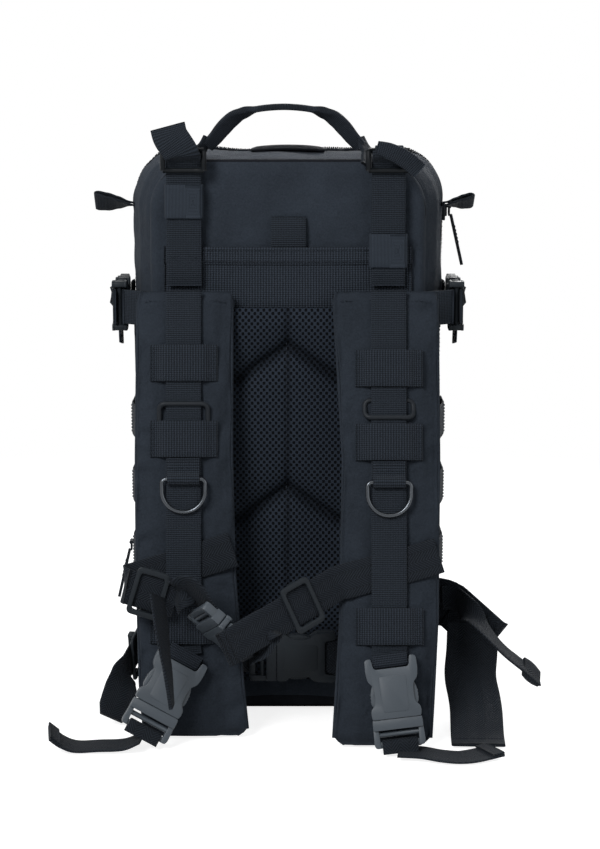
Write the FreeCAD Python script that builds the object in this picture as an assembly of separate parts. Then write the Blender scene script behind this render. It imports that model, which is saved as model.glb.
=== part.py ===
"""Trauma backpack: a clamshell pack on a harness, built as its separate sewn, moulded and metal pieces.

Frame: origin at the middle of the base, +Z up, the harness and back panel face -Y, +X is to the right
of someone who looks at the back panel. Millimetres.
"""
import FreeCAD, Part
import math
import os

# ---- body ----
body_depth = 150.0            # back panel to front panel, without the pocket
rear_depth = 100.0            # back panel to the main zipper
crown_height = 415.0          # top of the body at its deepest section
widest_half = 116.0           # half width at the belly
back_half = 93.0              # half width at the back panel's piping
front_half = 98.0             # half width at the front panel
fabric_wall = 2.0             # lined and padded body fabric
corner_radius = 38.0          # top and side corners
base_radius = 20.0            # lower corners
zip_end_height = 72.0         # where the side zippers stop and the front section folds
moving_gap = 0.4              # between the two zipper edges
seat = 0.3                    # sewn or resting pieces lie this far from what carries them

# ---- back panel ----
piping_radius = 2.5
frame_sheet_thickness = 2.5
sleeve_depth = 16.0
sleeve_height = 270.0
sleeve_half = 72.0
mesh_thickness = 1.2
mesh_half = 84.0
mesh_bottom = 22.0
band_bottom = 303.0
band_top = 347.0
band_half = 88.0
tab_height = 21.0
pad_foam_thickness = 8.0
pad_foam_half = 62.0
chevron_drop = 25.0           # how far each padding groove falls from its apex
groove_width = 9.0
upper_apex = 277.0
lower_apex = 173.0
foam_bottom = 60.0
foam_top_gap = 12.0

# ---- webbing ----
webbing_width = 25.0
webbing_thickness = 1.6
wing_width = 38.0

# ---- shoulder straps ----
strap_top = 316.0
strap_width = 70.0
strap_thickness = 11.0
floor_clearance = 0.6
left_centre = -74.0
right_centre = 71.5
hinge_out = 5.7               # strap hinge line, outward from the back panel
left_lean = ((34.0, 200.0), (48.0, 110.0), (58.0, 40.0), (60.0, 4.0))
right_lean = ((38.0, 200.0), (58.0, 110.0), (75.0, 40.0), (81.0, 4.0))
loop_width = 48.0
loop_height = 26.0
loop_step = 4.6
left_loops = (266.0, 213.0, 82.0)
right_loops = (262.0, 211.0, 84.0)
dring_gap = 15.0              # from the middle loop's edge down to the D-ring's straight side
dring_wire = 1.9
dring_half = 15.0
webring_bar = 3.2
webring_half = 17.6
webring_length = 28.0
keeper_wall = 0.9
anchor_width = 20.0

# ---- buckles and adjusters ----
buckle_half = 17.5
buckle_half_thick = 5.5
buckle_wall = 1.9
receiver_length = 40.0
plug_length = 19.5            # the part of the plug that stands out of the receiver
prong_length = 27.0
plug_play = 0.3
bar_radius = 1.8
wrap_gap = 0.35
triglide_half = 17.5
triglide_length = 24.0
triglide_bar = 3.2
lock_height = 22.0
lock_half = 14.5

# ---- front ----
pocket_depth = 38.0
pocket_half = 86.0
pocket_bottom = 92.0
pocket_top = 318.0
pocket_radius = 16.0
molle_pitch = 50.0
molle_rows = 4
lid_thickness = 3.0

# ---- handle, zipper ----
handle_centre = -3.0
handle_half = 49.0            # half the span of the moving grip
handle_pivot = 423.0
handle_peak = 448.0
handle_in = 10.0              # behind the back panel's plane
handle_tab = 9.0
grip_thickness = 4.0
slider_heights = {-1: 104.0, 1: 366.0}   # the left slider is parked low
ear_loop_height = 378.0
ear_loops = ((-1, 24.0, 0.78), (1, 18.5, 0.5))   # side, reach, and how far its end is twisted
back_drop = 9.0               # the crown falls this far at the back panel
port_out = 62.0
pull_length = 46.0
side_strap_height = 302.0
side_rows = (110.0, 161.0, 212.0)
zip_tape = 8.0
zip_tape_thickness = 1.2

# ---- derived ----
back_y = -body_depth / 2
zip_y = back_y + rear_depth
front_y = back_y + body_depth
X = FreeCAD.Vector(1, 0, 0)
Y = FreeCAD.Vector(0, 1, 0)
Z = FreeCAD.Vector(0, 0, 1)
thick = webbing_thickness
lift = 2 * seat + thick                       # strap webbing rides over one layer of webbing
wrap_radius = bar_radius + wrap_gap + thick / 2

rear_sections = (
    (back_y, back_half, crown_height - back_drop, corner_radius - 4, 0.0),
    (back_y + 28, widest_half - 7, crown_height - 2, corner_radius, 0.0),
    (back_y + 62, widest_half, crown_height, corner_radius, 0.0),
    (zip_y, widest_half, crown_height - 1, corner_radius, 0.0),
)
front_sections = (
    (zip_y, widest_half, crown_height - 1, corner_radius, 0.0),
    (front_y - 20, widest_half - 4, crown_height - 7, corner_radius, 0.0),
    (front_y, front_half, crown_height - 20, corner_radius - 4, 7.0),
)


def point(x, out, z):
    """A point given by its distance outward from the back panel."""
    return FreeCAD.Vector(x, back_y - out, z)


def box(x0, x1, y0, y1, z0, z1):
    return Part.makeBox(x1 - x0, y1 - y0, z1 - z0, FreeCAD.Vector(x0, y0, z0))


# ---- body shells ----

def outline(y, half, top, radius, bottom, lower_radius):
    """A rounded rectangle across the body at one depth."""
    k = 1 - math.sqrt(0.5)
    corners = (
        ((half, bottom), lower_radius, (1, -1)),
        ((half, top), radius, (1, 1)),
        ((-half, top), radius, (-1, 1)),
        ((-half, bottom), lower_radius, (-1, -1)),
    )
    stops = []
    for (x, z), r, (sx, sz) in corners:
        ends = [FreeCAD.Vector(x - sx * r, y, z), FreeCAD.Vector(x, y, z - sz * r)]
        if sx * sz > 0:
            ends.reverse()
        middle = FreeCAD.Vector(x - sx * r * k, y, z - sz * r * k)
        stops.append((ends[0], middle, ends[1]))
    edges = []
    for i, (start, middle, end) in enumerate(stops):
        edges.append(Part.Arc(start, middle, end).toShape())
        edges.append(Part.LineSegment(end, stops[(i + 1) % 4][0]).toShape())
    return Part.Wire(edges)


def pillow(sections, inset, start_shift=0.0, end_shift=0.0):
    wires = []
    for i, (y, half, top, radius, bottom) in enumerate(sections):
        if i == 0:
            y += start_shift
        if i == len(sections) - 1:
            y += end_shift
        wires.append(outline(y, half - inset, top - inset, radius - inset, bottom + inset,
                             base_radius - inset))
    return Part.makeLoft(wires, True, True)


def half_width_at(y):
    """Half width of the body's side at a depth, between the lofted sections."""
    sections = rear_sections + front_sections[1:]
    for (y0, h0, *_), (y1, h1, *_) in zip(sections, sections[1:]):
        if y0 <= y <= y1:
            return h0 + (h1 - h0) * (y - y0) / (y1 - y0)
    return sections[-1][1]


def rear_shell():
    inside = pillow(rear_sections, fabric_wall, fabric_wall, 1.0)
    return pillow(rear_sections, 0.0).cut(inside)


def front_tray():
    inside = pillow(front_sections, fabric_wall, -1.0, -fabric_wall)
    return pillow(front_sections, 0.0).cut(inside)


def lower_front_shell():
    return front_tray().common(box(-200, 200, zip_y, front_y + 1, -1, zip_end_height))


def front_shell():
    return front_tray().common(box(-200, 200, zip_y + moving_gap, front_y + 1,
                                   zip_end_height + moving_gap, crown_height + 1))


def zipper_tape(y0, y1):
    """A tape that stands on the body beside the zipper, from one side's end over the top."""
    half = max(half_width_at(y0), half_width_at(y1)) + seat
    ring = []
    for grow in (zip_tape_thickness, 0.0):
        wire = outline(y0, half + grow, crown_height - 1 + seat + grow,
                       corner_radius + seat + grow, -5.0, base_radius)
        ring.append(Part.Face(wire).extrude(Y * (y1 - y0)))
    return ring[0].cut(ring[1]).common(box(-200, 200, y0 - 1, y1 + 1, zip_end_height + 2, 500))


def piping():
    """The bead that rounds the back panel's seam."""
    y, half, top, radius, bottom = rear_sections[0]
    centre_y = y - piping_radius - seat
    path = outline(centre_y, half - piping_radius, top - piping_radius, radius - piping_radius,
                   piping_radius + floor_clearance, base_radius)
    first = path.Edges[1]
    start = first.valueAt(first.FirstParameter)
    circle = Part.Wire(Part.makeCircle(piping_radius, start, first.tangentAt(first.FirstParameter)))
    return path.makePipeShell([circle], True, False)


def frame_sheet():
    y = back_y + fabric_wall + seat
    return box(-sleeve_half - 8, sleeve_half + 8, y, y + frame_sheet_thickness,
               fabric_wall + seat + 3, crown_height - 40)


def inner_sleeve():
    y0 = back_y + fabric_wall + 2 * seat + frame_sheet_thickness
    outer = box(-sleeve_half, sleeve_half, y0, y0 + sleeve_depth, fabric_wall + seat, sleeve_height)
    inner = box(-sleeve_half + fabric_wall, sleeve_half - fabric_wall, y0 + fabric_wall,
                y0 + sleeve_depth - fabric_wall, fabric_wall * 2, sleeve_height + 1)
    return outer.cut(inner)


# ---- back panel ----

def plate(profile, out0, out1):
    """A plate on the back panel, cut to an outline of (x, z) points."""
    points = [point(x, out0, z) for x, z in profile]
    face = Part.Face(Part.makePolygon(points + [points[0]]))
    return face.extrude(Y * (out0 - out1))


def air_mesh_cover():
    return plate([(-mesh_half, mesh_bottom), (mesh_half, mesh_bottom),
                  (mesh_half, band_bottom - seat), (-mesh_half, band_bottom - seat)],
                 seat, seat + mesh_thickness)


def back_pads():
    """Three foam pads that meet along two roof-shaped grooves."""
    out0 = 2 * seat + mesh_thickness
    out1 = out0 + pad_foam_thickness
    w = pad_foam_half
    shoulder = w * 0.6
    g = groove_width / 2
    pads = []
    tops = [(upper_apex, band_bottom - foam_top_gap), (lower_apex, upper_apex), (None, lower_apex)]
    for i, (lower, upper) in enumerate(tops):
        roof = upper - g if i else None
        floor = lower + g if lower else None
        outline_points = []
        if floor:
            outline_points += [(-w, floor - chevron_drop), (-shoulder, floor - chevron_drop),
                               (0, floor), (shoulder, floor - chevron_drop), (w, floor - chevron_drop)]
        else:
            outline_points += [(-w, foam_bottom), (w, foam_bottom)]
        if roof:
            outline_points += [(w, roof - chevron_drop), (shoulder, roof - chevron_drop), (0, roof),
                               (-shoulder, roof - chevron_drop), (-w, roof - chevron_drop)]
        else:
            outline_points += [(w, upper), (-w, upper)]
        pads.append(plate(outline_points, out0, out1))
    return Part.makeCompound(pads)


def upper_band():
    """The stiff band over the panel's top, and the small hanging tab above it."""
    half = webbing_width / 2
    band = plate([(-band_half, band_bottom), (band_half, band_bottom),
                  (band_half, band_top), (-band_half, band_top)], seat, seat + thick)
    tab = plate([(-half, band_top + seat), (half, band_top + seat),
                 (half, band_top + tab_height), (-half, band_top + tab_height)], seat, seat + thick)
    return Part.makeCompound([band, tab])


# ---- webbing ----

def rounded(points, radius, steps=4):
    """A path whose corners are rounded by short chords."""
    path = [points[0]]
    for before, corner, after in zip(points, points[1:], points[2:]):
        a = before - corner
        b = after - corner
        reach = min(radius, a.Length * 0.45, b.Length * 0.45)
        start = corner + FreeCAD.Vector(a).normalize() * reach
        end = corner + FreeCAD.Vector(b).normalize() * reach
        for i in range(steps + 1):
            t = i / steps
            path.append(start * (1 - t) ** 2 + corner * (2 * t * (1 - t)) + end * t ** 2)
    path.append(points[-1])
    return path


def strip(path, across, width=webbing_width, depth=webbing_thickness):
    """A flat strap of one width along a path. across is its width direction, one or one per point."""
    if isinstance(across, FreeCAD.Vector):
        across = [across] * len(path)
    wires = []
    for i, p in enumerate(path):
        before = (p - path[i - 1]).normalize() if i else None
        after = (path[i + 1] - p).normalize() if i < len(path) - 1 else None
        along = (before or after) + (after or before)
        along.normalize()
        side = FreeCAD.Vector(across[i])
        side = (side - along * side.dot(along)).normalize()
        normal = along.cross(side).normalize()
        mitre = 1 / max(0.5, along.dot(after or before))
        u = side * (width / 2)
        v = normal * (depth / 2 * mitre)
        corners = [p + u + v, p - u + v, p - u - v, p + u - v]
        wires.append(Part.makePolygon(corners + [corners[0]]))
    return Part.makeLoft(wires, True, True)


def offset_line(line, distance):
    """The (out, z) line moved outward, square to itself."""
    moved = []
    for i, (out, z) in enumerate(line):
        a = line[max(i - 1, 0)]
        b = line[min(i + 1, len(line) - 1)]
        run = (b[0] - a[0], b[1] - a[1])
        length = math.hypot(*run)
        moved.append((out - run[1] / length * distance, z + run[0] / length * distance))
    return moved


def out_at(line, z):
    for (o0, z0), (o1, z1) in zip(line, line[1:]):
        if z1 <= z <= z0:
            return o0 + (o1 - o0) * (z0 - z) / (z0 - z1)
    return line[-1][0]


def slope_at(line, z):
    """Unit direction down a strap's line at a height."""
    for (o0, z0), (o1, z1) in zip(line, line[1:]):
        if z1 <= z <= z0:
            return FreeCAD.Vector(0, -(o1 - o0), z1 - z0).normalize()
    return FreeCAD.Vector(0, 0, -1)


# ---- moulded hardware, each in its own frame: X across the webbing, Y outward, Z along it ----

def bar(length, radius, y, z):
    return Part.makeCylinder(radius, length, FreeCAD.Vector(-length / 2, y, z), X)


def buckle_receiver(length=receiver_length):
    w = buckle_half
    t = buckle_half_thick
    body = box(-w, w, -t, t, 8, length)
    body = body.cut(box(-w + buckle_wall, w - buckle_wall, -t + buckle_wall, t - buckle_wall,
                        10, length + 1))
    for side in (-1, 1):
        body = body.cut(box(min(side * (w - 3), side * (w + 1)), max(side * (w - 3), side * (w + 1)),
                            -t + buckle_wall, t - buckle_wall, length * 0.42, length * 0.78))
        body = body.fuse(box(min(side * w, side * (w - 3)), max(side * w, side * (w - 3)), -2, 2, 0, 8.5))
    return body.fuse(bar(2 * w - 2, bar_radius, 0, bar_radius)).removeSplitter()


def buckle_plug(receiver=receiver_length, length=plug_length, prongs=prong_length):
    """Base, two side prongs and a centre tongue, with a two-bar webbing frame behind."""
    w = buckle_half - buckle_wall - plug_play
    t = buckle_half_thick - buckle_wall - plug_play
    start = receiver + plug_play
    plug = box(-buckle_half, buckle_half, -4.5, 4.5, start, start + 6)
    for x0, x1 in ((-w, -w + 4.5), (w - 4.5, w), (-2.5, 2.5)):
        plug = plug.fuse(box(x0, x1, -t, t, start - prongs, start + 1))
    end = start + length
    for side in (-1, 1):
        plug = plug.fuse(box(min(side * buckle_half, side * (buckle_half - 3)),
                             max(side * buckle_half, side * (buckle_half - 3)), -3, 3, start + 5, end))
    for z in (start + 10.5, end - bar_radius):
        plug = plug.fuse(bar(2 * buckle_half - 2, bar_radius, 0, z))
    return plug.removeSplitter()


def triglide():
    """A frame whose two end bars lie over the webbing and whose middle bar lies under it."""
    w = triglide_half
    half = triglide_length / 2
    rail = w - webbing_width / 2 - 0.8
    up = thick / 2 + seat
    frame = box(-w, w, up, up + 2.2, -half, half)
    frame = frame.cut(box(-w + rail, w - rail, up - 1, up + 4, -half + triglide_bar, half - triglide_bar))
    for side in (-1, 1):
        x0 = min(side * w, side * (w - rail))
        frame = frame.fuse(box(x0, x0 + rail, -up - 2.2, up + 1, -3, 3))
    return frame.fuse(box(-w, w, -up - 2.2, -up, -2.2, 2.2)).removeSplitter()


def place(shape, origin, along, outward):
    """Set a piece of hardware down with its Z along the webbing and its Y outward."""
    z = FreeCAD.Vector(along).normalize()
    y = FreeCAD.Vector(outward)
    y = (y - z * y.dot(z)).normalize()
    x = y.cross(z)
    matrix = FreeCAD.Matrix(x.x, y.x, z.x, origin.x, x.y, y.y, z.y, origin.y,
                            x.z, y.z, z.z, origin.z, 0, 0, 0, 1)
    placed = shape.copy()
    placed.Placement = FreeCAD.Placement(matrix)
    return placed


def triglide_on(start, end, share, across):
    """A triglide on a straight run of webbing."""
    along = end - start
    outward = along.cross(across)
    if outward.y > 0:
        outward = outward * -1
    return place(triglide(), start * (1 - share) + end * share, along, outward)


def bar_wrap(length):
    """Webbing folded round a receiver's bar: two layers that run back from it."""
    r = wrap_radius
    path = [FreeCAD.Vector(0, r, bar_radius - length)]
    for i in range(9):
        a = math.pi / 2 - math.pi * i / 8
        path.append(FreeCAD.Vector(0, r * math.sin(a), bar_radius + r * math.cos(a)))
    path.append(FreeCAD.Vector(0, -r, bar_radius - length))
    return strip(path, X)


# ---- shoulder straps ----

class Harness:
    """One shoulder strap: its lines, and where each of its pieces sits."""

    def __init__(self, name, centre, lean, loops, buckle_direction, buckle_out):
        self.name = name
        self.centre = centre
        pad_top = (hinge_out + strap_thickness / 2, strap_top)
        first = (pad_top[0] + 7.5, strap_top - 30.0)
        self.line = [pad_top, first] + list(lean[:-1]) + [(lean[-1][0], floor_clearance + 1.3)]
        self.webbing_line = offset_line(self.line, strap_thickness / 2 + lift + thick / 2)
        self.loops = loops
        self.dring_height = loops[1] - loop_height / 2 - dring_gap
        self.buckle_direction = buckle_direction
        self.end_height = loops[2] - loop_height / 2 - 7
        out = out_at(self.webbing_line, self.end_height) + buckle_out
        self.receiver_at = point(centre, out, self.end_height)

    def on(self, line, z, x=0.0):
        return point(self.centre + x, out_at(line, z), z)

    def pad(self):
        path = [point(self.centre, out, z) for out, z in self.line]
        return strip(path, X, strap_width, strap_thickness)

    def webbing(self):
        """Runs down the pad, lifts off below the last loop and folds round the buckle's bar."""
        line = [p for p in self.webbing_line if p[1] > self.end_height + 12]
        path = [point(self.centre, out, z) for out, z in line]
        path.append(self.on(self.webbing_line, self.end_height + 5.5))
        path.append(self.receiver_at + Y * wrap_radius - self.buckle_direction)
        run = strip(path, X)
        wrap = place(bar_wrap(6.5), self.receiver_at, self.buckle_direction, -Y)
        return run.fuse(wrap).removeSplitter()

    def cross_loops(self):
        """Short loops sewn across the pad over the webbing, and the fold that holds the D-ring."""
        solids = [self.ring_keeper()]
        for z in self.loops:
            base = self.on(self.line, z)
            down = slope_at(self.line, z)
            outward = down.cross(X)
            low = strap_thickness / 2 + seat + thick / 2
            high = strap_thickness / 2 + 2 * lift + thick / 2 + 0.1
            half = loop_width / 2
            step = half - loop_step
            spots = ((-half, low), (-half + 2, low), (-step, high),
                     (step, high), (half - 2, low), (half, low))
            path = [base + X * x + outward * n for x, n in spots]
            solids.append(strip(path, down, loop_height))
        return Part.makeCompound(solids)

    def ring_keeper(self):
        """The short fold over the D-ring's straight side."""
        axis = self.dring_axis()
        down = slope_at(self.line, self.dring_height)
        outward = down.cross(X)
        flat = -(dring_wire - thick / 2)
        high = dring_wire + wrap_gap + thick / 2
        spots = ((-15, flat), (-5.5, flat), (-1.8, high), (1.2, high))
        return strip([axis + down * d + outward * n for d, n in spots], X, webbing_width - 3)

    def dring_axis(self):
        offset = strap_thickness / 2 + lift + thick + seat + dring_wire
        z = self.dring_height
        return self.on(self.line, z) + slope_at(self.line, z).cross(X) * offset

    def d_ring(self):
        axis = self.dring_axis()
        down = slope_at(self.line, self.dring_height)
        outward = down.cross(X)
        r = dring_half
        reach = 8.0
        ends = [axis - X * r, axis + X * r]
        low = [p + down * reach for p in ends]
        tip = axis + down * (reach + r)
        arc = Part.Arc(low[1], tip, low[0])
        ring = sweep_round([Part.LineSegment(low[0], ends[0]), Part.LineSegment(ends[0], ends[1]),
                            Part.LineSegment(ends[1], low[1]), arc], dring_wire)
        return ring

    def web_ring(self, upward):
        """A flat rectangular ring round the webbing: its shown bar lies over it, the hidden one under it."""
        shown = self.loops[1] + (28.0 if upward else 17.0)
        hidden = shown - webring_length * (1 if upward else -1)
        low = strap_thickness / 2 + seat + thick / 2
        high = strap_thickness / 2 + lift + thick + seat + thick / 2
        ends = []
        for z, n in ((hidden, low), (shown, high)):
            ends.append(self.on(self.line, z) + slope_at(self.line, z).cross(X) * n)
        bars = [strip([p - X * webring_half, p + X * webring_half],
                      ends[1] - ends[0], webring_bar) for p in ends]
        rails = [strip([p + X * side * (webring_half - 1.2) for p in ends], X, 2.4) for side in (-1, 1)]
        return bars[0].fuse(bars[1:] + rails).removeSplitter()

    def receiver(self):
        return place(buckle_receiver(), self.receiver_at, self.buckle_direction, -Y)

    def plug(self):
        return place(buckle_plug(), self.receiver_at, self.buckle_direction, -Y)

    def plug_end(self):
        return self.receiver_at + self.buckle_direction * (receiver_length + plug_play + plug_length)


def sweep_round(curves, radius):
    """A round wire along straight runs and arcs: cylinders and ball corners, fused."""
    solid = None
    for curve in curves:
        edge = curve.toShape()
        start = edge.valueAt(edge.FirstParameter)
        pieces = [Part.makeSphere(radius, start)]
        if isinstance(curve, Part.LineSegment):
            run = edge.valueAt(edge.LastParameter) - start
            pieces.append(Part.makeCylinder(radius, run.Length, start, run))
        else:
            circle = Part.Wire(Part.makeCircle(radius, start, edge.tangentAt(edge.FirstParameter)))
            pieces.append(Part.Wire(edge).makePipeShell([circle], True, False))
        for piece in pieces:
            solid = solid.fuse(piece) if solid else piece
    return solid.removeSplitter()


left_buckle = FreeCAD.Vector(-0.47, -0.30, -0.83).normalize()
right_buckle = FreeCAD.Vector(0.12, -0.26, -0.95).normalize()
left = Harness("left", left_centre, left_lean, left_loops, left_buckle, 3.6)
right = Harness("right", right_centre, right_lean, right_loops, right_buckle, 3.6)
keeper_height = {"left": 380.0, "right": 345.0}


# ---- load lifters at the top ----

lifter_out = 2 * seat + 2 * piping_radius + keeper_wall + wrap_gap + thick / 2
lock_out = lifter_out + thick / 2 + seat + bar_radius
lock_foot = crown_height - 13.0
lock_pitch = 14.0


def lifter_path(harness):
    """From just above the strap's hinge up the back panel, through the ladder lock and on as its tail."""
    x = harness.centre
    lower, upper = lock_bars(harness)
    front = lock_out + 6.2
    return rounded([point(x, lifter_out, strap_top + 7), point(x, lifter_out, lower.z + 4),
                    point(x, front, upper.z - 1), point(x, front, upper.z + 8),
                    point(x, front - 4, upper.z + 20)], 4.0, 3)


def lock_bars(harness):
    """The ladder lock's lower bar, and the upper bar that it swings on."""
    return (point(harness.centre, lock_out, lock_foot),
            point(harness.centre, lock_out, lock_foot + lock_pitch))


def lifter_webbing():
    return Part.makeCompound([strip(lifter_path(harness), X) for harness in (left, right)])


def ladder_lock(harness):
    lower, upper = lock_bars(harness)
    lock = None
    length = 2 * lock_half
    pieces = []
    for p in (lower, upper):
        pieces.append(Part.makeCylinder(bar_radius, length, p - X * lock_half, X))
    for side in (-1, 1):
        x = harness.centre + side * lock_half - 1.0
        pieces.append(box(x, x + 2.0, lower.y - bar_radius, lower.y + bar_radius,
                          lower.z - bar_radius - 1, upper.z + bar_radius))
    for piece in pieces:
        lock = lock.fuse(piece) if lock else piece
    return lock.removeSplitter()


def lock_anchors():
    """The folded loops that hold the ladder locks' upper bars to the top seam."""
    loops = []
    for harness in (left, right):
        upper = lock_bars(harness)[1]
        r = wrap_radius
        x = harness.centre
        top = rear_sections[0][2]
        path = [FreeCAD.Vector(x, back_y + 12, top + 7 * 12 / 28 + 2 * seat + thick / 2),
                FreeCAD.Vector(x, back_y - 1, top + 2 * seat + thick / 2),
                FreeCAD.Vector(x, upper.y + r + 0.6, upper.z - 6)]
        for i in range(7):
            a = math.pi * i / 6 * 0.8
            path.append(FreeCAD.Vector(x, upper.y + r * math.cos(a), upper.z + r * math.sin(a)))
        loops.append(strip(path, X, anchor_width))
    return Part.makeCompound(loops)


def keeper(harness, z):
    """The elastic sleeve round the lifter webbing."""
    x = harness.centre
    w = webbing_width / 2 + seat
    t = thick / 2 + wrap_gap
    y = back_y - lifter_out
    k = keeper_wall
    outer = box(x - w - k, x + w + k, y - t - k, y + t + k, z - 12, z + 12)
    return outer.cut(box(x - w, x + w, y - t, y + t, z - 13, z + 13))


def grab_handle():
    """Webbing folded to half its width over the grip."""
    y = back_y + handle_in
    rise = handle_peak - grip_thickness / 2 - handle_pivot
    spots = ((-1.0, 0.0), (-0.86, 0.42), (-0.64, 0.76), (-0.33, 0.95), (0.0, 1.0))
    spots += tuple((-x, z) for x, z in reversed(spots[:-1]))
    path = [FreeCAD.Vector(handle_centre + x * handle_half, y, handle_pivot + z * rise) for x, z in spots]
    return strip(path, Y, webbing_width * 0.6, grip_thickness)


def sewn_loops():
    """The grab handle's two sewn ends, and the folded loops that stand out of the side seams."""
    y = back_y + handle_in
    inner = handle_half + seat + grip_thickness / 2
    foot = crown_height - back_drop + 7 * (handle_in + 7) / 28 + seat
    solids = []
    for side in (-1, 1):
        x = sorted((handle_centre + side * inner, handle_centre + side * (inner + handle_tab)))
        solids.append(box(x[0], x[1], y - 7, y + 7, foot, handle_pivot + 1.5))
    y = back_y + 58
    for side, reach, twist in ear_loops:
        x = widest_half + seat + 0.6
        path = [FreeCAD.Vector(side * (x + reach * share), y, ear_loop_height + rise)
                for share, rise in ((0.0, -4.0), (0.35, -3.2), (0.7, -2.6), (1.0, -1.8))]
        across = [Y, Y - Z * twist * 0.5, Y - Z * twist, Y - Z * twist * 1.3]
        solids.append(strip(path, across, 18.0, 3.4))
    return Part.makeCompound(solids)


def top_port():
    """The covered hose port on the crown."""
    foot = crown_height + seat
    y = back_y + port_out
    return box(-26, 26, y - 9, y + 9, foot, foot + 2.5)


# ---- side compression ----

def side_origin(side):
    """Middle of a side buckle's receiver bar."""
    y = back_y + 20
    x = widest_half + seat + buckle_half_thick + 1.2
    return FreeCAD.Vector(side * x, y, side_strap_height)


def side_webbing():
    """On each side: the receiver's webbing, the plug's anchor in front, and the lower attachment rows."""
    solids = []
    for side in (-1, 1):
        origin = side_origin(side)
        y0 = back_y + 3
        start = FreeCAD.Vector(side * (half_width_at(y0) + thick), y0, side_strap_height)
        run = strip([start, origin - Y * 3 - X * side * wrap_radius], Z)
        solids.append(run.fuse(place(bar_wrap(7), origin, Y, X * side)).removeSplitter())
        x = side * (widest_half + seat + thick / 2)
        y1 = zip_y - zip_tape - 2
        solids.append(strip([FreeCAD.Vector(x, y1 - 24, side_strap_height),
                             FreeCAD.Vector(x, y1, side_strap_height)], Z))
        for z in side_rows:
            ys = [back_y + 8, back_y + 28, back_y + 62, y1]
            solids.append(strip([FreeCAD.Vector(side * (half_width_at(y) + 2 * seat + thick / 2), y, z)
                                 for y in ys], Z))
    return Part.makeCompound(solids)


# ---- waist belt, behind the shoulder straps ----

waist_height = 52.0
waist_out = 30.0
waist_origin = point(32.0, waist_out, waist_height)


def waist_plug_tip():
    return waist_origin - X * (receiver_length + plug_play + plug_length)


def waist_root(side, z):
    """Where the webbing is sewn to the body's side, just round the corner."""
    inside = 14.0
    return point(side * (half_width_at(back_y + inside) + seat + thick / 2 + 0.1), -inside, z)


def waist_right_spots():
    outer = point(106.0, 6.5, waist_height + 6)
    return [waist_root(1, outer.z), outer, point(76.0, waist_out - 12, waist_height + 2),
            waist_origin + X * 3 + Y * wrap_radius]


def waist_left_spots():
    inner = waist_plug_tip() + FreeCAD.Vector(-22, wrap_radius + thick + seat + 3.0, 0)
    outer = point(-106.0, 6.5, waist_height + 2)
    return [waist_root(-1, outer.z), outer, point(-76.0, waist_out - 15, waist_height), inner]


def waist_webbing():
    """Two halves: round the receiver's bar on the right, behind the plug on the left."""
    wrap = place(bar_wrap(8), waist_origin, -X, -Y)
    right_half = strip(rounded(waist_right_spots(), 4.0), Z).fuse(wrap).removeSplitter()
    return Part.makeCompound([right_half, strip(rounded(waist_left_spots(), 4.0), Z)])


def waist_triglides():
    """One on the waist belt at the right, one on the left wing."""
    belt = waist_right_spots()
    wing = left_wing_spots()[0]
    return Part.makeCompound([triglide_on(belt[1], belt[2], 0.41, Z),
                              triglide_on(wing[2], wing[3], 0.5, Z)])


# ---- sternum strap: two webbing halves that meet in a small buckle in front of the left pad ----

chest_receiver = 28.0
chest_plug = 16.5
chest_bar = point(-30.0, 85.0, 72.0)          # middle of the receiver's bar
chest_along = FreeCAD.Vector(-0.74, 0.02, 0.66).normalize()
chest_outward = FreeCAD.Vector(0.0, -0.45, -0.9)


def chest_across(angle, lean=0.0):
    """Width direction of webbing that slopes down to the left by an angle in degrees, on a leaning pad."""
    rise = math.cos(math.radians(angle))
    return FreeCAD.Vector(-math.sin(math.radians(angle)), rise * lean, rise)


def pad_lean(harness, z):
    down = slope_at(harness.line, z)
    return down.y / down.z


def pad_front(harness, x, z, extra=0.3):
    out = out_at(harness.line, z) + strap_thickness / 2 + seat + thick / 2 + extra
    return point(harness.centre + x, out, z)


chest_fold = point(-43.0, 110.0, 80.0)
chest_edge = pad_front(right, -strap_width / 2 - 1.5, 115.0)
chest_way_across = chest_across(24)


def chest_right():
    """Across the right pad and down to the fold, with a second layer that turns to the receiver's bar."""
    start = pad_front(right, strap_width / 2 - 2, 134.0)
    lean = pad_lean(right, 124.0)
    off_pad = chest_edge * 0.88 + chest_fold * 0.12
    run = strip([start, chest_edge, off_pad, chest_fold],
                [chest_across(16, lean), chest_across(20, lean), chest_way_across, chest_way_across])
    near_bar = chest_bar - chest_along * 6
    bar_across = chest_along.cross(chest_outward)
    from_run = chest_edge * 0.36 + chest_fold * 0.64 + Y
    turn = strip([from_run, (from_run + near_bar) * 0.5 + X * 2, near_bar],
                 [chest_across(25), (chest_across(25) - bar_across).normalize(), -bar_across],
                 webbing_width - 1)
    wrap = place(bar_wrap(7), chest_bar, chest_along, chest_outward)
    return run.fuse(turn).fuse(wrap).removeSplitter()


def chest_plug_tip():
    return chest_bar + chest_along * (chest_receiver + plug_play + chest_plug)


chest_left_mid = point(-98.0, 71.0, 110.0)
chest_left_way = FreeCAD.Vector(0.956, 0.0, -0.292)
chest_prongs = 17.0


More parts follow.
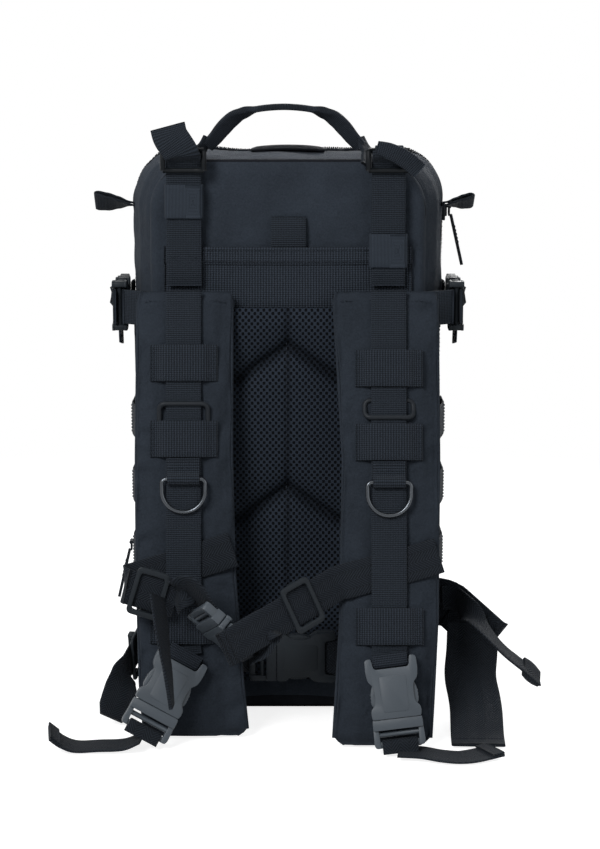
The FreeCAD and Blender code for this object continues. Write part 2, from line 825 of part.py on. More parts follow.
def chest_left():
    """Across the left pad, back round its outer edge, through the triglide and on beside the plug.
    The second solid is the free end, which hangs edge on in front of the pad."""
    across = chest_across(-17)
    start = pad_front(left, strap_width / 2 - 2, 136.0)
    edge = pad_front(left, -strap_width / 2 - 1.0, 115.0, 0.8)
    flat = chest_across(16.5, pad_lean(left, 126.0))
    front_edge = chest_left_mid - chest_left_way * 15.5
    under = strip([start, pad_front(left, -webbing_width / 2 - 4, 120.5), edge], flat)
    turn = strip([edge + X * 0.8, (edge + front_edge) * 0.5 - X * 1.5, front_edge + X * 0.8],
                 [flat, (flat + across).normalize(), across])
    run = under.fuse(turn).fuse(strip([front_edge, chest_left_mid + chest_left_way * 20], across))
    normal = FreeCAD.Vector(chest_outward)
    normal = (normal - chest_along * normal.dot(chest_along)).normalize()
    beside = chest_plug_tip() - normal * (4.5 + seat + thick / 2 + 0.2)
    plug_across = chest_along.cross(normal)
    twist = strip([chest_left_mid + chest_left_way * 19, beside + chest_along * 14 - normal * 2,
                   beside - chest_along * 9],
                  [across, (across + plug_across * 2).normalize(), plug_across], webbing_width - 1)
    hang = [point(-91.0, 85.7, 112.0), point(-86.0, 102.0, 82.0), point(-80.5, 106.0, 38.0)]
    tail = strip(rounded(hang, 20.0), FreeCAD.Vector(0.2, 0.98, 0))
    return Part.makeCompound([run.fuse(twist).removeSplitter(), tail])


# ---- lower corner wings and adjuster webbing ----
def left_wing_spots():
    """Forward along the body's side, then out and down to the floor."""
    sewn = [point(-(half_width_at(back_y + deep) + 2 * seat + thick / 2 + 0.1), -deep, z)
            for deep, z in ((48, 48), (35, 45))]
    bend = point(-119, 4, 37)
    straight = [sewn[1] * (1 - share) + bend * share for share in (0.18, 0.85)]
    spots = sewn + straight + [bend, point(-121, 12, 31), point(-123.5, 21, 21), point(-128, 34, 9)]
    flat = FreeCAD.Vector(-0.85, 0, 0.53)
    return spots, [Z, Z, Z, Z, Z, Z * 0.7 + flat * 0.6, flat, flat]


def wing_tail():
    """The free end sewn to the right wing: flat on it, then turned edge on, with a folded end."""
    x0 = wing_root()
    spots = [point(x0 + 4, -29.2, 80), point(x0 + 15, -22.6, 80), point(140, 7, 71), point(157, 18, 54),
             point(172, 16, 41), point(185, 12, 29)]
    flat = FreeCAD.Vector(0.1, 0.05, 1)
    edge_on = FreeCAD.Vector(0.12, 0.98, 0.15)
    run = strip(spots, [Z, flat, flat * 0.5 + edge_on, edge_on, edge_on, edge_on], 18.0)
    hem = strip([spots[4] * 0.9 + spots[5] * 0.1, spots[5]], edge_on, 18.0, 3.4)
    return run.fuse(hem).removeSplitter()


def wing_root():
    return half_width_at(back_y + 34) + 3 * seat + thick


def corner_wings():
    """The wide webbing from the pack's lower corners: out, folded, and down to the floor."""
    x0 = wing_root()
    out = strip(rounded([point(x0, -34, 76), point(x0 + 9, -28.6, 75.7), point(152, -13, 51)], 8.0), Z, 36.0)
    drop = strip(rounded([point(136, -18, 66), point(136, -2, 46), point(135, 34, 19),
                          point(134.5, 70, 3.6), point(134.5, 84, 2.2)], 16.0), X, wing_width)
    spots, across = left_wing_spots()
    return Part.makeCompound([out.fuse(drop).removeSplitter(), strip(spots, across),
                              wing_tail()])


def adjuster(harness, spots, across):
    """Folded round the plug's end bar, then along the floor to its folded end."""
    tip = harness.plug_end()
    wrap = place(bar_wrap(4.5), tip, -harness.buckle_direction, -Y)
    return wrap.fuse(strip(spots, across)).removeSplitter()


def right_adjuster():
    tip = right.plug_end() + right.buckle_direction * 3
    low = floor_clearance + thick / 2 + 0.4
    spots = [tip + FreeCAD.Vector(-2, -1, -0.4), FreeCAD.Vector(tip.x + 14, tip.y - 3, low + 1),
             FreeCAD.Vector(tip.x + 42, tip.y - 9, low), FreeCAD.Vector(tip.x + 66, tip.y + 2, low)]
    return adjuster(right, spots, Y)


def left_adjuster():
    tip = left.plug_end() + left.buckle_direction * 3
    low = floor_clearance + thick / 2 + 0.4
    spots = [FreeCAD.Vector(tip.x + 1, tip.y, tip.z - 0.5), FreeCAD.Vector(tip.x - 12, tip.y + 2, low + 1.5),
             FreeCAD.Vector(tip.x - 46, tip.y + 2, low), FreeCAD.Vector(tip.x - 64, tip.y - 2, low + 12)]
    return adjuster(left, spots, Y)


# ---- front section ----

def front_pocket():
    """The outer pocket, open at the top under its lid."""
    y0 = front_y + seat
    y1 = y0 + pocket_depth
    outer = box(-pocket_half, pocket_half, y0, y1, pocket_bottom, pocket_top)
    corners = [e for e in outer.Edges if all(abs(v.Y - y1) < 0.01 for v in e.Vertexes)
               and abs(e.Vertexes[0].X - e.Vertexes[1].X) < 0.01]
    outer = outer.makeFillet(pocket_radius, corners)
    w = fabric_wall
    inner = box(-pocket_half + w, pocket_half - w, y0 + w, y1 - w, pocket_bottom + w, pocket_top + 1)
    corners = [e for e in inner.Edges if all(abs(v.Y - y1 + w) < 0.01 for v in e.Vertexes)
               and abs(e.Vertexes[0].X - e.Vertexes[1].X) < 0.01]
    return outer.cut(inner.makeFillet(pocket_radius - w, corners))


lid_hinge_out = 2.6
lid_base = pocket_top + seat
lid_lip = 24.0


def pocket_lid():
    """The lid, with a lip that hangs over the pocket's front."""
    y0 = front_y + lid_hinge_out
    y1 = front_y + seat + pocket_depth + 3.2
    top = box(-pocket_half, pocket_half, y0, y1, lid_base, lid_base + lid_thickness)
    lip = box(-pocket_half + pocket_radius, pocket_half - pocket_radius, y1 - 2.2, y1,
              lid_base - lid_lip, lid_base + 1)
    return top.fuse(lip).removeSplitter()


def front_webbing():
    """The pocket's attachment rows, and the blank patch panel above its lid."""
    y = front_y + seat + pocket_depth + seat
    half = pocket_half - pocket_radius - 2
    rows = []
    for i in range(molle_rows):
        z = pocket_bottom + 15 + i * molle_pitch
        rows.append(box(-half, half, y, y + thick, z, z + webbing_width))
    y = front_y + seat
    rows.append(box(-48, 48, y, y + thick, pocket_top + 22, pocket_top + 66))
    return Part.makeCompound(rows)


# ---- zipper sliders ----

def slider_x():
    return widest_half + 2 * seat + zip_tape_thickness


def main_slider(side):
    x = sorted((side * slider_x(), side * (slider_x() + 3.2)))
    z = slider_heights[side]
    return box(x[0], x[1], zip_y - 5, zip_y + 5.4, z - 8, z + 6)


def pull_pivot(side):
    return FreeCAD.Vector(side * (slider_x() + 3.2 + seat + 1.4), zip_y, slider_heights[side] + 3)


def main_pull(side):
    """A moulded pull that hangs from the slider."""
    p = pull_pivot(side)
    pin = Part.makeCylinder(1.3, 7, p - Y * 3.5, Y)
    tab = box(p.x - 1.3, p.x + 1.3, zip_y - 3.5, zip_y + 3.5, p.z - pull_length, p.z)
    return tab.fuse(pin).removeSplitter()


# ---- every node ----

def nodes():
    parts = {
        "rear_shell": rear_shell(),
        "lower_front_shell": lower_front_shell(),
        "front_shell": front_shell(),
        "edge_piping": piping(),
        "frame_sheet": frame_sheet(),
        "inner_sleeve": inner_sleeve(),
        "air_mesh_cover": air_mesh_cover(),
        "back_foam_pads": back_pads(),
        "upper_band": upper_band(),
        "hose_port": top_port(),
        "sewn_loops": sewn_loops(),
        "grab_handle": grab_handle(),
        "zipper_tape_rear": zipper_tape(zip_y - zip_tape, zip_y),
        "zipper_tape_front": zipper_tape(zip_y + moving_gap, zip_y + moving_gap + zip_tape),
        "side_webbing": side_webbing(),
        "front_pocket": front_pocket(),
        "pocket_lid": pocket_lid(),
        "front_webbing": front_webbing(),
        "lifter_webbing": lifter_webbing(),
        "lock_anchors": lock_anchors(),
        "waist_buckle_receiver": place(buckle_receiver(), waist_origin, -X, -Y),
        "waist_buckle_plug": place(buckle_plug(), waist_origin, -X, -Y),
        "waist_webbing": waist_webbing(),
        "waist_triglides": waist_triglides(),
        "corner_wings": corner_wings(),
        "adjuster_webbing_left": left_adjuster(),
        "adjuster_webbing_right": right_adjuster(),
        "sternum_webbing_right": chest_right(),
        "sternum_webbing_left": chest_left(),
        "sternum_buckle_receiver": place(buckle_receiver(chest_receiver), chest_bar,
                                         chest_along, chest_outward),
        "sternum_buckle_plug": place(buckle_plug(chest_receiver, chest_plug, chest_prongs),
                                     chest_bar, chest_along, chest_outward),
        "sternum_triglide_right": triglide_on(chest_edge, chest_fold, 0.33, chest_way_across),
        "sternum_triglide_left": triglide_on(chest_left_mid - chest_left_way,
                                             chest_left_mid + chest_left_way, 0.5, chest_across(-17)),
    }
    for side, label in ((-1, "left"), (1, "right")):
        parts["side_buckle_receiver_" + label] = place(buckle_receiver(), side_origin(side), Y, X * side)
        parts["side_buckle_plug_" + label] = place(buckle_plug(), side_origin(side), Y, X * side)
        parts["main_slider_" + label] = main_slider(side)
        parts["main_pull_" + label] = main_pull(side)
    for harness in (left, right):
        label = harness.name
        parts["shoulder_pad_" + label] = harness.pad()
        parts["strap_webbing_" + label] = harness.webbing()
        parts["cross_loops_" + label] = harness.cross_loops()
        parts["d_ring_" + label] = harness.d_ring()
        parts["web_ring_" + label] = harness.web_ring(harness is left)
        parts["strap_buckle_receiver_" + label] = harness.receiver()
        parts["strap_buckle_plug_" + label] = harness.plug()
        parts["ladder_lock_" + label] = ladder_lock(harness)
        parts["lifter_keeper_" + label] = keeper(harness, keeper_height[label])
    return parts


def main():
    os.makedirs("parts", exist_ok=True)
    for name, shape in nodes().items():
        shape.exportStep(os.path.join("parts", name + ".step"))
        print(name, len(shape.Solids), round(shape.Volume), shape.isValid())


main()
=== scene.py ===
import math
import bmesh
import bpy
from mathutils import Matrix, Vector, noise


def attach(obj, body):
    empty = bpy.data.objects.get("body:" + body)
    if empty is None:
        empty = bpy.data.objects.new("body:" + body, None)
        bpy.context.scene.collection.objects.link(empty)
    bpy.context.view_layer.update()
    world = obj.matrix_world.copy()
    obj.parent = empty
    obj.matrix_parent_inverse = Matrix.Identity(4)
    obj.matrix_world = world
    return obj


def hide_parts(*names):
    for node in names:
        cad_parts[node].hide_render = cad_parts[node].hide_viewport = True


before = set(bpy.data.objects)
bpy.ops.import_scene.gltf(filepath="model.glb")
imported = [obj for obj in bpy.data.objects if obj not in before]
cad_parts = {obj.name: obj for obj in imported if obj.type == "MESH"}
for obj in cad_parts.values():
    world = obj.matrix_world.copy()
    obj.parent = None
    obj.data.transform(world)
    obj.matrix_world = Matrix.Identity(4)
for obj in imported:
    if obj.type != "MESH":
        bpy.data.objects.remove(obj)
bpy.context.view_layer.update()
print("frame loaded")

# Lengths in this script are millimetres; a mesh is turned into metres as it is made.
pack = {"backY": -75.0, "zipY": 25.0, "frontY": 75.0, "crown": 415.0, "hem": 3.4}
webbing = {"width": 25.0, "thick": 1.6, "seat": 0.3, "rib": 1.45}
xAxis, yAxis, zAxis = Vector((1, 0, 0)), Vector((0, 1, 0)), Vector((0, 0, 1))


# Shader maths
class Wire:
    def __init__(self, tree, socket):
        self.tree, self.socket = tree, socket

    def apply(self, kind, *others):
        node = self.tree.nodes.new("ShaderNodeMath")
        node.operation = kind
        for i, value in enumerate((self,) + others):
            if isinstance(value, Wire):
                self.tree.links.new(value.socket, node.inputs[i])
            else:
                node.inputs[i].default_value = value
        return Wire(self.tree, node.outputs[0])

    def __add__(self, other):
        return self.apply("ADD", other)

    def __sub__(self, other):
        return self.apply("SUBTRACT", other)

    def __mul__(self, other):
        return self.apply("MULTIPLY", other)

    def __truediv__(self, other):
        return self.apply("DIVIDE", other)

    def sin(self):
        return self.apply("SINE")

    def cos(self):
        return self.apply("COSINE")

    def abs(self):
        return self.apply("ABSOLUTE")

    def floor(self):
        return self.apply("FLOOR")

    def max(self, other):
        return self.apply("MAXIMUM", other)

    def min(self, other):
        return self.apply("MINIMUM", other)

    def ramp(self, low, high, toLow=0.0, toHigh=1.0):
        node = self.tree.nodes.new("ShaderNodeMapRange")
        node.interpolation_type = "SMOOTHSTEP"
        self.tree.links.new(self.socket, node.inputs["Value"])
        for key, value in (("From Min", low), ("From Max", high), ("To Min", toLow), ("To Max", toHigh)):
            node.inputs[key].default_value = value
        return Wire(self.tree, node.outputs["Result"])


class Finish:
    def __init__(self, name, color, roughness, specular=0.5, sheen=0.0, coat=0.0, metallic=0.0):
        self.material = bpy.data.materials.new(name)
        self.material.use_nodes = True
        self.tree = self.material.node_tree
        self.shader = self.tree.nodes["Principled BSDF"]
        self.color = color
        self.shader.inputs["Base Color"].default_value = (*color, 1)
        self.shader.inputs["Roughness"].default_value = roughness
        self.shader.inputs["Specular IOR Level"].default_value = specular
        self.shader.inputs["Metallic"].default_value = metallic
        self.shader.inputs["Sheen Weight"].default_value = sheen
        self.shader.inputs["Sheen Roughness"].default_value = 0.45
        self.shader.inputs["Coat Weight"].default_value = coat
        self.shader.inputs["Coat Roughness"].default_value = 0.25
        self.material.diffuse_color = (*color, 1)

    def coords(self, kind):
        node = self.tree.nodes.new("ShaderNodeTexCoord")
        split = self.tree.nodes.new("ShaderNodeSeparateXYZ")
        self.tree.links.new(node.outputs[kind], split.inputs[0])
        return [Wire(self.tree, split.outputs[i]) for i in range(3)]

    def noise(self, scale, detail=3.0, roughness=0.55, kind="Object", stretch=(1, 1, 1)):
        node = self.tree.nodes.new("ShaderNodeTexCoord")
        vector = self.tree.nodes.new("ShaderNodeVectorMath")
        vector.operation = "MULTIPLY"
        vector.inputs[1].default_value = stretch
        self.tree.links.new(node.outputs[kind], vector.inputs[0])
        texture = self.tree.nodes.new("ShaderNodeTexNoise")
        texture.inputs["Scale"].default_value = scale
        texture.inputs["Detail"].default_value = detail
        texture.inputs["Roughness"].default_value = roughness
        self.tree.links.new(vector.outputs[0], texture.inputs["Vector"])
        return Wire(self.tree, texture.outputs[0])

    def bump(self, height, distance, strength=1.0):
        node = self.tree.nodes.new("ShaderNodeBump")
        node.inputs["Distance"].default_value = distance
        node.inputs["Strength"].default_value = strength
        self.tree.links.new(height.socket, node.inputs["Height"])
        self.tree.links.new(node.outputs[0], self.shader.inputs["Normal"])
        return self

    def shade(self, factor, low, high):
        mix = self.tree.nodes.new("ShaderNodeMix")
        mix.data_type = "RGBA"
        for socket, amount in ((mix.inputs[6], low), (mix.inputs[7], high)):
            socket.default_value = (*[c * amount for c in self.color], 1)
        self.tree.links.new(factor.socket, mix.inputs[0])
        self.tree.links.new(mix.outputs[2], self.shader.inputs["Base Color"])
        return self

    def rough(self, factor, low, high):
        value = factor.ramp(0.0, 1.0, low, high)
        self.tree.links.new(value.socket, self.shader.inputs["Roughness"])
        return self


tone = {"fabric": (0.0218, 0.0275, 0.0365), "webbing": (0.0128, 0.0165, 0.0222),
        "mesh": (0.0140, 0.0185, 0.0260),
        "dark": (0.0085, 0.0098, 0.0128), "plastic": (0.0430, 0.0530, 0.0640), "metal": (0.056, 0.062, 0.070)}
turn = 2 * math.pi


def wovenFabric(name, color, thread=0.55, bump=0.00013):
    finish = Finish(name, color, 0.82, specular=0.06, sheen=0.02)
    x, y, z = finish.coords("Object")
    pitch = turn / (thread * 0.001)
    along = (x + y) * pitch
    weave = along.sin() * (z * pitch).sin()
    fine = finish.noise(2600.0, 2.0)
    broad = finish.noise(26.0, 4.0, 0.6)
    soft = finish.noise(75.0, 3.0, 0.55)
    grain = finish.noise(820.0, 2.0, 0.6)
    finish.bump(weave * 0.45 + fine * 1.1 + grain * 1.6 + broad * 26.0 + soft * 11.0, bump)
    return finish.shade(fine * 0.3 + grain * 0.75 + broad * 0.7 - 0.35, 0.5, 1.5)


def ribbedWebbing(name, color, rib=1.45, rows=1.15, bump=0.00032, herringbone=False):
    finish = Finish(name, color, 0.72, specular=0.09, sheen=0.02)
    u, v, _ = finish.coords("UV")
    along = u * (turn / (rib * 0.001))
    across = v * (turn / (rows * 0.001))
    if herringbone:
        sign = (v * (turn / 0.0126)).sin().ramp(-0.06, 0.06, -1.0, 1.0)
        ribs = (along + across * sign * 0.75).sin()
        height = ribs * 0.5 + (across * 2.0).sin() * 0.16
    else:
        ribs = along.sin()
        height = ribs * 0.5 + across.sin() * 0.34
    grain = finish.noise(2200.0, 2.0)
    finish.bump(height + grain * 0.5, bump)
    # The colour follows the rib height, lighter on the crests and darker in the grooves between ribs: painted
    # highlight and shade. The grain adds random tone.
    return finish.shade(height * 0.62 + grain * 0.5 + 0.2, 0.34, 1.9)


foam = {"half": 84.0, "bottom": 20.0, "top": 304.0, "rise": 10.2, "apexes": (277.0, 173.0), "drop": 25.0,
        "knee": 37.0, "step": 1.5}


def airMesh(name, color, cellX=4.3, cellZ=4.8, bump=0.0011):
    finish = Finish(name, color, 0.8, specular=0.05)
    x, _, z = finish.coords("Object")
    # Painted shade: the colour is darkened down the middle groove and along the roof-shaped grooves between the
    # foam pads. The lattice makes the holes between the raised threads darker, partly the mesh's own open weave
    # and partly painted shade.
    shadow = (x.abs() * 1000.0).ramp(0.6, 3.4, 0.62, 1.0)
    for apex in foam["apexes"]:
        line = (x.abs() * 1000.0).min(foam["knee"]) * (foam["drop"] / foam["knee"]) * -1.0 + apex
        shadow = shadow * (z * 1000.0 - line).abs().ramp(0.5, 9.0, 0.42, 1.0)
    lattice = (x * (turn / (cellX * 0.001))).cos() * (z * (turn / (cellZ * 0.001))).cos()
    yarn = finish.noise(1500.0, 2.0)
    height = lattice.ramp(0.02, 0.42, 1.0, 0.0)
    finish.bump(height + yarn * 0.16, bump)
    return finish.shade(height * (yarn * 0.5 + 0.7) * shadow, 0.12, 1.3)


def satinPlastic(name, color, roughness=0.42, specular=0.32):
    finish = Finish(name, color, roughness, specular=specular)
    grain = finish.noise(1300.0, 2.0)
    finish.bump(grain, 0.00006)
    return finish.rough(finish.noise(60.0, 3.0), roughness - 0.07, roughness + 0.1)


fabric = wovenFabric("pack fabric", tone["fabric"]).material
padFabric = wovenFabric("pad fabric", [c * 0.86 for c in tone["fabric"]], 0.7, 0.00016).material
darkFabric = wovenFabric("lining fabric", tone["dark"]).material
strap = ribbedWebbing("strap webbing", tone["webbing"], 1.5).material
loopWebbing = ribbedWebbing("loop webbing", [c * 1.12 for c in tone["webbing"]], 1.9, 1.5, 0.0005).material
twill = ribbedWebbing("twill webbing", [c * 0.7 for c in tone["webbing"]], 2.3, 1.6, 0.0004, True).material
bandWebbing = ribbedWebbing("band webbing", [c * 1.3 for c in tone["webbing"]], 2.0, 1.6, 0.00045).material
binding = ribbedWebbing("binding", [c * 0.8 for c in tone["webbing"]], 1.1, 1.1, 0.00022).material
elastic = ribbedWebbing("elastic", [c * 1.5 for c in tone["webbing"]], 1.0, 0.8, 0.0001).material
mesh = airMesh("air mesh", tone["mesh"]).material
plastic = satinPlastic("satin plastic", tone["plastic"]).material
# A darker copy of the satin plastic: painted shade for the waist and side buckles and the adjusters, which sit
# in shadow.
shadedPlastic = satinPlastic("shaded plastic", [c * 0.34 for c in tone["plastic"]], 0.44, 0.09).material
glossPlastic = satinPlastic("polished plastic", [c * 0.13 for c in tone["plastic"]], 0.42, 0.1).material
metalFinish = Finish("dark metal", tone["metal"], 0.24, specular=0.5, metallic=0.9)
metalFinish.bump(metalFinish.noise(900.0, 2.0), 0.00004)
metal = metalFinish.material
lacquer = Finish("black lacquer", (0.012, 0.0145, 0.018), 0.46, specular=0.1).material
coil = Finish("zipper coil", (0.010, 0.011, 0.013), 0.45, specular=0.2).material
print("materials made")


# Mesh building
def point(x, out, z):
    return Vector((x, pack["backY"] - out, z))


# Vertices, faces and fabric coordinates of one piece.
class Shape:
    def __init__(self):
        self.verts, self.faces, self.uvs, self.slots = [], [], [], []

    def face(self, corners, uvs, slot=0):
        self.faces.append(tuple(corners))
        self.uvs.append(uvs)
        self.slots.append(slot)

    def grid(self, rows, uvRows, closedAcross=False, closedAlong=False, slot=0, slotOf=None):
        start = len(self.verts)
        count, width = len(rows), len(rows[0])
        for row in rows:
            self.verts.extend(row)
        for i in range(count if closedAlong else count - 1):
            for j in range(width if closedAcross else width - 1):
                a, b = i, (i + 1) % count
                c, d = j, (j + 1) % width
                quad = (start + a * width + c, start + b * width + c, start + b * width + d,
                        start + a * width + d)
                if uvRows is None:
                    uv = ((0, 0),) * 4
                else:
                    uv = (uvRows[a][c], uvRows[b][c], uvRows[b][d], uvRows[a][d])
                self.face(quad, uv, slotOf(i, j) if slotOf else slot)
        return start

    def cap(self, indexes, flip=False, slot=0):
        corners = list(indexes)
        if flip:
            corners.reverse()
        self.face(corners, ((0, 0),) * len(corners), slot)

    def ribbon(self, path, across, width=25.0, thick=1.6, step=3.0, sharp=False, slot=0, uvStart=0.0,
               widths=None, thicks=None):
        spots, sides = follow(path, across, step, sharp)
        profile = []
        half, t = 0.5, 0.5
        flats = 7
        for i in range(flats):
            s = -0.47 + 0.94 * i / (flats - 1)
            profile.append((s, t * (1.0 - 0.10 * abs(2 * s) ** 3)))
        profile.append((half, 0.22))
        profile.append((half, -0.22))
        for i in range(flats):
            s = 0.47 - 0.94 * i / (flats - 1)
            profile.append((s, -t * (1.0 - 0.10 * abs(2 * s) ** 3)))
        profile.append((-half, -0.22))
        profile.append((-half, 0.22))
        rows, uvRows = [], []
        distance = uvStart
        count = len(spots)
        for i, p in enumerate(spots):
            if i:
                distance += (p - spots[i - 1]).length
            before = spots[i - 1] if i else p
            after = spots[i + 1] if i < count - 1 else p
            tangent = (after - before).normalized()
            side = sides[i] - tangent * sides[i].dot(tangent)
            side.normalize()
            normal = tangent.cross(side)
            share = i / max(1, count - 1)
            w = width * (pick(widths, share) if widths else 1.0)
            d = thick * (pick(thicks, share) if thicks else 1.0)
            rows.append([p + side * (s * w) + normal * (h * d) for s, h in profile])
            uvRows.append([(distance * 0.001, s * w * 0.001) for s, h in profile])
        start = self.grid(rows, uvRows, closedAcross=True, slot=slot)
        n = len(profile)
        self.cap(range(start, start + n), True, slot)
        self.cap(range(start + (count - 1) * n, start + count * n), False, slot)
        return spots, sides

    def tube(self, path, radius, sides=12, closed=False, slot=0, radii=None, caps=True):
        count = len(path)
        previous = None
        rows, uvRows = [], []
        distance = 0.0
        for i, p in enumerate(path):
            before = path[i - 1] if (i or closed) else p
            after = path[(i + 1) % count] if (i < count - 1 or closed) else p
            tangent = (after - before).normalized()
            if previous is None:
                helper = zAxis if abs(tangent.z) < 0.8 else xAxis
                normal = (helper - tangent * helper.dot(tangent)).normalized()
            else:
                normal = (previous - tangent * previous.dot(tangent)).normalized()
            previous = normal
            third = tangent.cross(normal)
            if i:
                distance += (p - path[i - 1]).length
            r = radius * (radii[i] if radii else 1.0)
            rows.append([p + normal * (math.cos(turn * k / sides) * r) + third * (math.sin(turn * k / sides) * r)
                         for k in range(sides)])
            uvRows.append([(distance * 0.001, turn * r * k / sides * 0.001) for k in range(sides)])
        start = self.grid(rows, uvRows, True, closed, slot)
        if caps and not closed:
            self.cap(range(start, start + sides), True, slot)
            self.cap(range(start + (count - 1) * sides, start + count * sides), False, slot)

    def stitches(self, path, normal, pitch=3.4, length=2.3, radius=0.42, slot=0):
        spots = resample(path, pitch, False)
        for a, b in zip(spots, spots[1:]):
            along = (b - a).normalized()
            up = normal(a) if callable(normal) else Vector(normal)
            side = along.cross(up).normalized()
            middle = (a + b) * 0.5
            start = len(self.verts)
            for share, size, rise in ((-0.5, 0.5, -0.1), (-0.2, 1.0, 0.25), (0.2, 1.0, 0.25),
                    (0.5, 0.5, -0.1)):
                centre = middle + along * (length * share) + up * (radius * rise)
                for k in range(6):
                    angle = turn * k / 6
                    self.verts.append(centre + side * (math.cos(angle) * radius * size)
                                      + up * (math.sin(angle) * radius * size))
            for i in range(3):
                for k in range(6):
                    a0, b0 = start + i * 6 + k, start + i * 6 + (k + 1) % 6
                    self.face((a0, b0, b0 + 6, a0 + 6), ((0, 0),) * 4, slot)
            self.cap([start + k for k in range(6)], True, slot)
            self.cap([start + 18 + k for k in range(6)], False, slot)

    # A flat plate in the (x, z) plane between two depths, with holes through it.
    def plate(self, contour, y0, y1, holes=(), slot=0):
        builder = bmesh.new()
        loops = [contour] + list(holes)
        edges = []
        for loop in loops:
            verts = [builder.verts.new((x, y0, z)) for x, z in loop]
            edges += [builder.edges.new((verts[i], verts[(i + 1) % len(verts)])) for i in range(len(verts))]
        bmesh.ops.triangle_fill(builder, use_beauty=True, use_dissolve=False, edges=edges)
        faces = list(builder.faces)
        result = bmesh.ops.extrude_face_region(builder, geom=faces)
        moved = [v for v in result["geom"] if isinstance(v, bmesh.types.BMVert)]
        bmesh.ops.translate(builder, vec=(0, y1 - y0, 0), verts=moved)
        bmesh.ops.recalc_face_normals(builder, faces=list(builder.faces))
        self.take(builder, slot)
        builder.free()

    def take(self, builder, slot=0):
        start = len(self.verts)
        builder.verts.index_update()
        self.verts.extend(Vector(v.co) for v in builder.verts)
        for f in builder.faces:
            self.cap([start + v.index for v in f.verts], False, slot)

    def placed(self, matrix, other, slot=None):
        start = len(self.verts)
        self.verts.extend(matrix @ v for v in other.verts)
        for f, uv, s in zip(other.faces, other.uvs, other.slots):
            self.face([start + i for i in f], uv, s if slot is None else slot)

    def build(self, name, materials, body, slotName, replaced=(), bevel=None, smoothAngle=None, subdivide=0):
        name = name.replace(" ", "_")
        data = bpy.data.meshes.new(name)
        data.from_pydata([v * 0.001 for v in self.verts], [], self.faces)
        layer = data.uv_layers.new(name="UVMap")
        flat = [c for uv in self.uvs for corner in uv for c in corner]
        layer.data.foreach_set("uv", flat)
        for m in materials if isinstance(materials, (list, tuple)) else [materials]:
            data.materials.append(m)
        data.polygons.foreach_set("material_index", self.slots)
        if bevel:
            bevelEdges(data, bevel)
        data.update()
        obj = bpy.data.objects.new(name, data)
        bpy.context.scene.collection.objects.link(obj)
        if smoothAngle is None:
            data.shade_smooth()
        else:
            data.set_sharp_from_angle(angle=math.radians(smoothAngle))
        if subdivide:
            modifier = obj.modifiers.new("subdivide", "SUBSURF")
            modifier.levels = modifier.render_levels = subdivide
        if body:
            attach(obj, body)
        if replaced:
            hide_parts(*replaced)
        return obj


def bevelEdges(data, bevel, segments=2, angle=32):
    builder = bmesh.new()
    builder.from_mesh(data)
    bmesh.ops.remove_doubles(builder, verts=list(builder.verts), dist=1e-6)
    bmesh.ops.dissolve_limit(builder, angle_limit=math.radians(1.0), verts=list(builder.verts),
                             edges=list(builder.edges))
    sharp = [e for e in builder.edges
             if len(e.link_faces) == 2 and e.calc_face_angle(0) > math.radians(angle)]
    bmesh.ops.bevel(builder, geom=sharp, offset=bevel * 0.001, offset_type="OFFSET", segments=segments,
                    profile=0.5, affect="EDGES", clamp_overlap=True, material=-1)
    builder.to_mesh(data)
    builder.free()


def pick(values, share):
    place = share * (len(values) - 1)
    i = min(int(place), len(values) - 2)
    return values[i] + (values[i + 1] - values[i]) * (place - i)


# The path as evenly spaced points, through a smooth curve or along its straight runs.
def resample(path, step, smooth=True):
    points = [Vector(p) for p in path]
    if smooth and len(points) > 2:
        dense = []
        for i in range(len(points) - 1):
            p0 = points[i - 1] if i else points[i] * 2 - points[i + 1]
            p1, p2 = points[i], points[i + 1]
            p3 = points[i + 2] if i + 2 < len(points) else points[i + 1] * 2 - points[i]
            for k in range(12):
                dense.append(spline(p0, p1, p2, p3, k / 12))
        dense.append(points[-1])
        points = dense
    lengths = [0.0]
    for a, b in zip(points, points[1:]):
        lengths.append(lengths[-1] + (b - a).length)
    count = max(1, round(lengths[-1] / step))
    result, j = [], 0
    for i in range(count + 1):
        target = lengths[-1] * i / count
        while j < len(points) - 2 and lengths[j + 1] < target:
            j += 1
        span = lengths[j + 1] - lengths[j]
        share = (target - lengths[j]) / span if span else 0.0
        result.append(points[j].lerp(points[j + 1], min(1.0, share)))
    return result


def spline(p0, p1, p2, p3, t):
    return ((p1 * 2) + (p2 - p0) * t + (p0 * 2 - p1 * 5 + p2 * 4 - p3) * (t * t)
            + (p1 * 3 - p0 - p2 * 3 + p3) * (t * t * t)) * 0.5


# The resampled path of a strap with its width direction at each point.
def follow(path, across, step, sharp=False):
    points = [Vector(p) for p in path]
    sides = [Vector(across)] * len(points) if not isinstance(across, list) else [Vector(a) for a in across]
    lengths = [0.0]
    for a, b in zip(points, points[1:]):
        lengths.append(lengths[-1] + (b - a).length)
    spots = resample(points, step, not sharp)
    total = sum((b - a).length for a, b in zip(spots, spots[1:]))
    result, gone, j = [], 0.0, 0
    for i, p in enumerate(spots):
        if i:
            gone += (p - spots[i - 1]).length
        target = gone / total * lengths[-1] if total else 0.0
        while j < len(points) - 2 and lengths[j + 1] < target:
            j += 1
        span = lengths[j + 1] - lengths[j]
        share = min(1.0, max(0.0, (target - lengths[j]) / span)) if span else 0.0
        share = share * share * (3 - 2 * share)
        result.append(sides[j].lerp(sides[j + 1], share).normalized())
    return spots, result


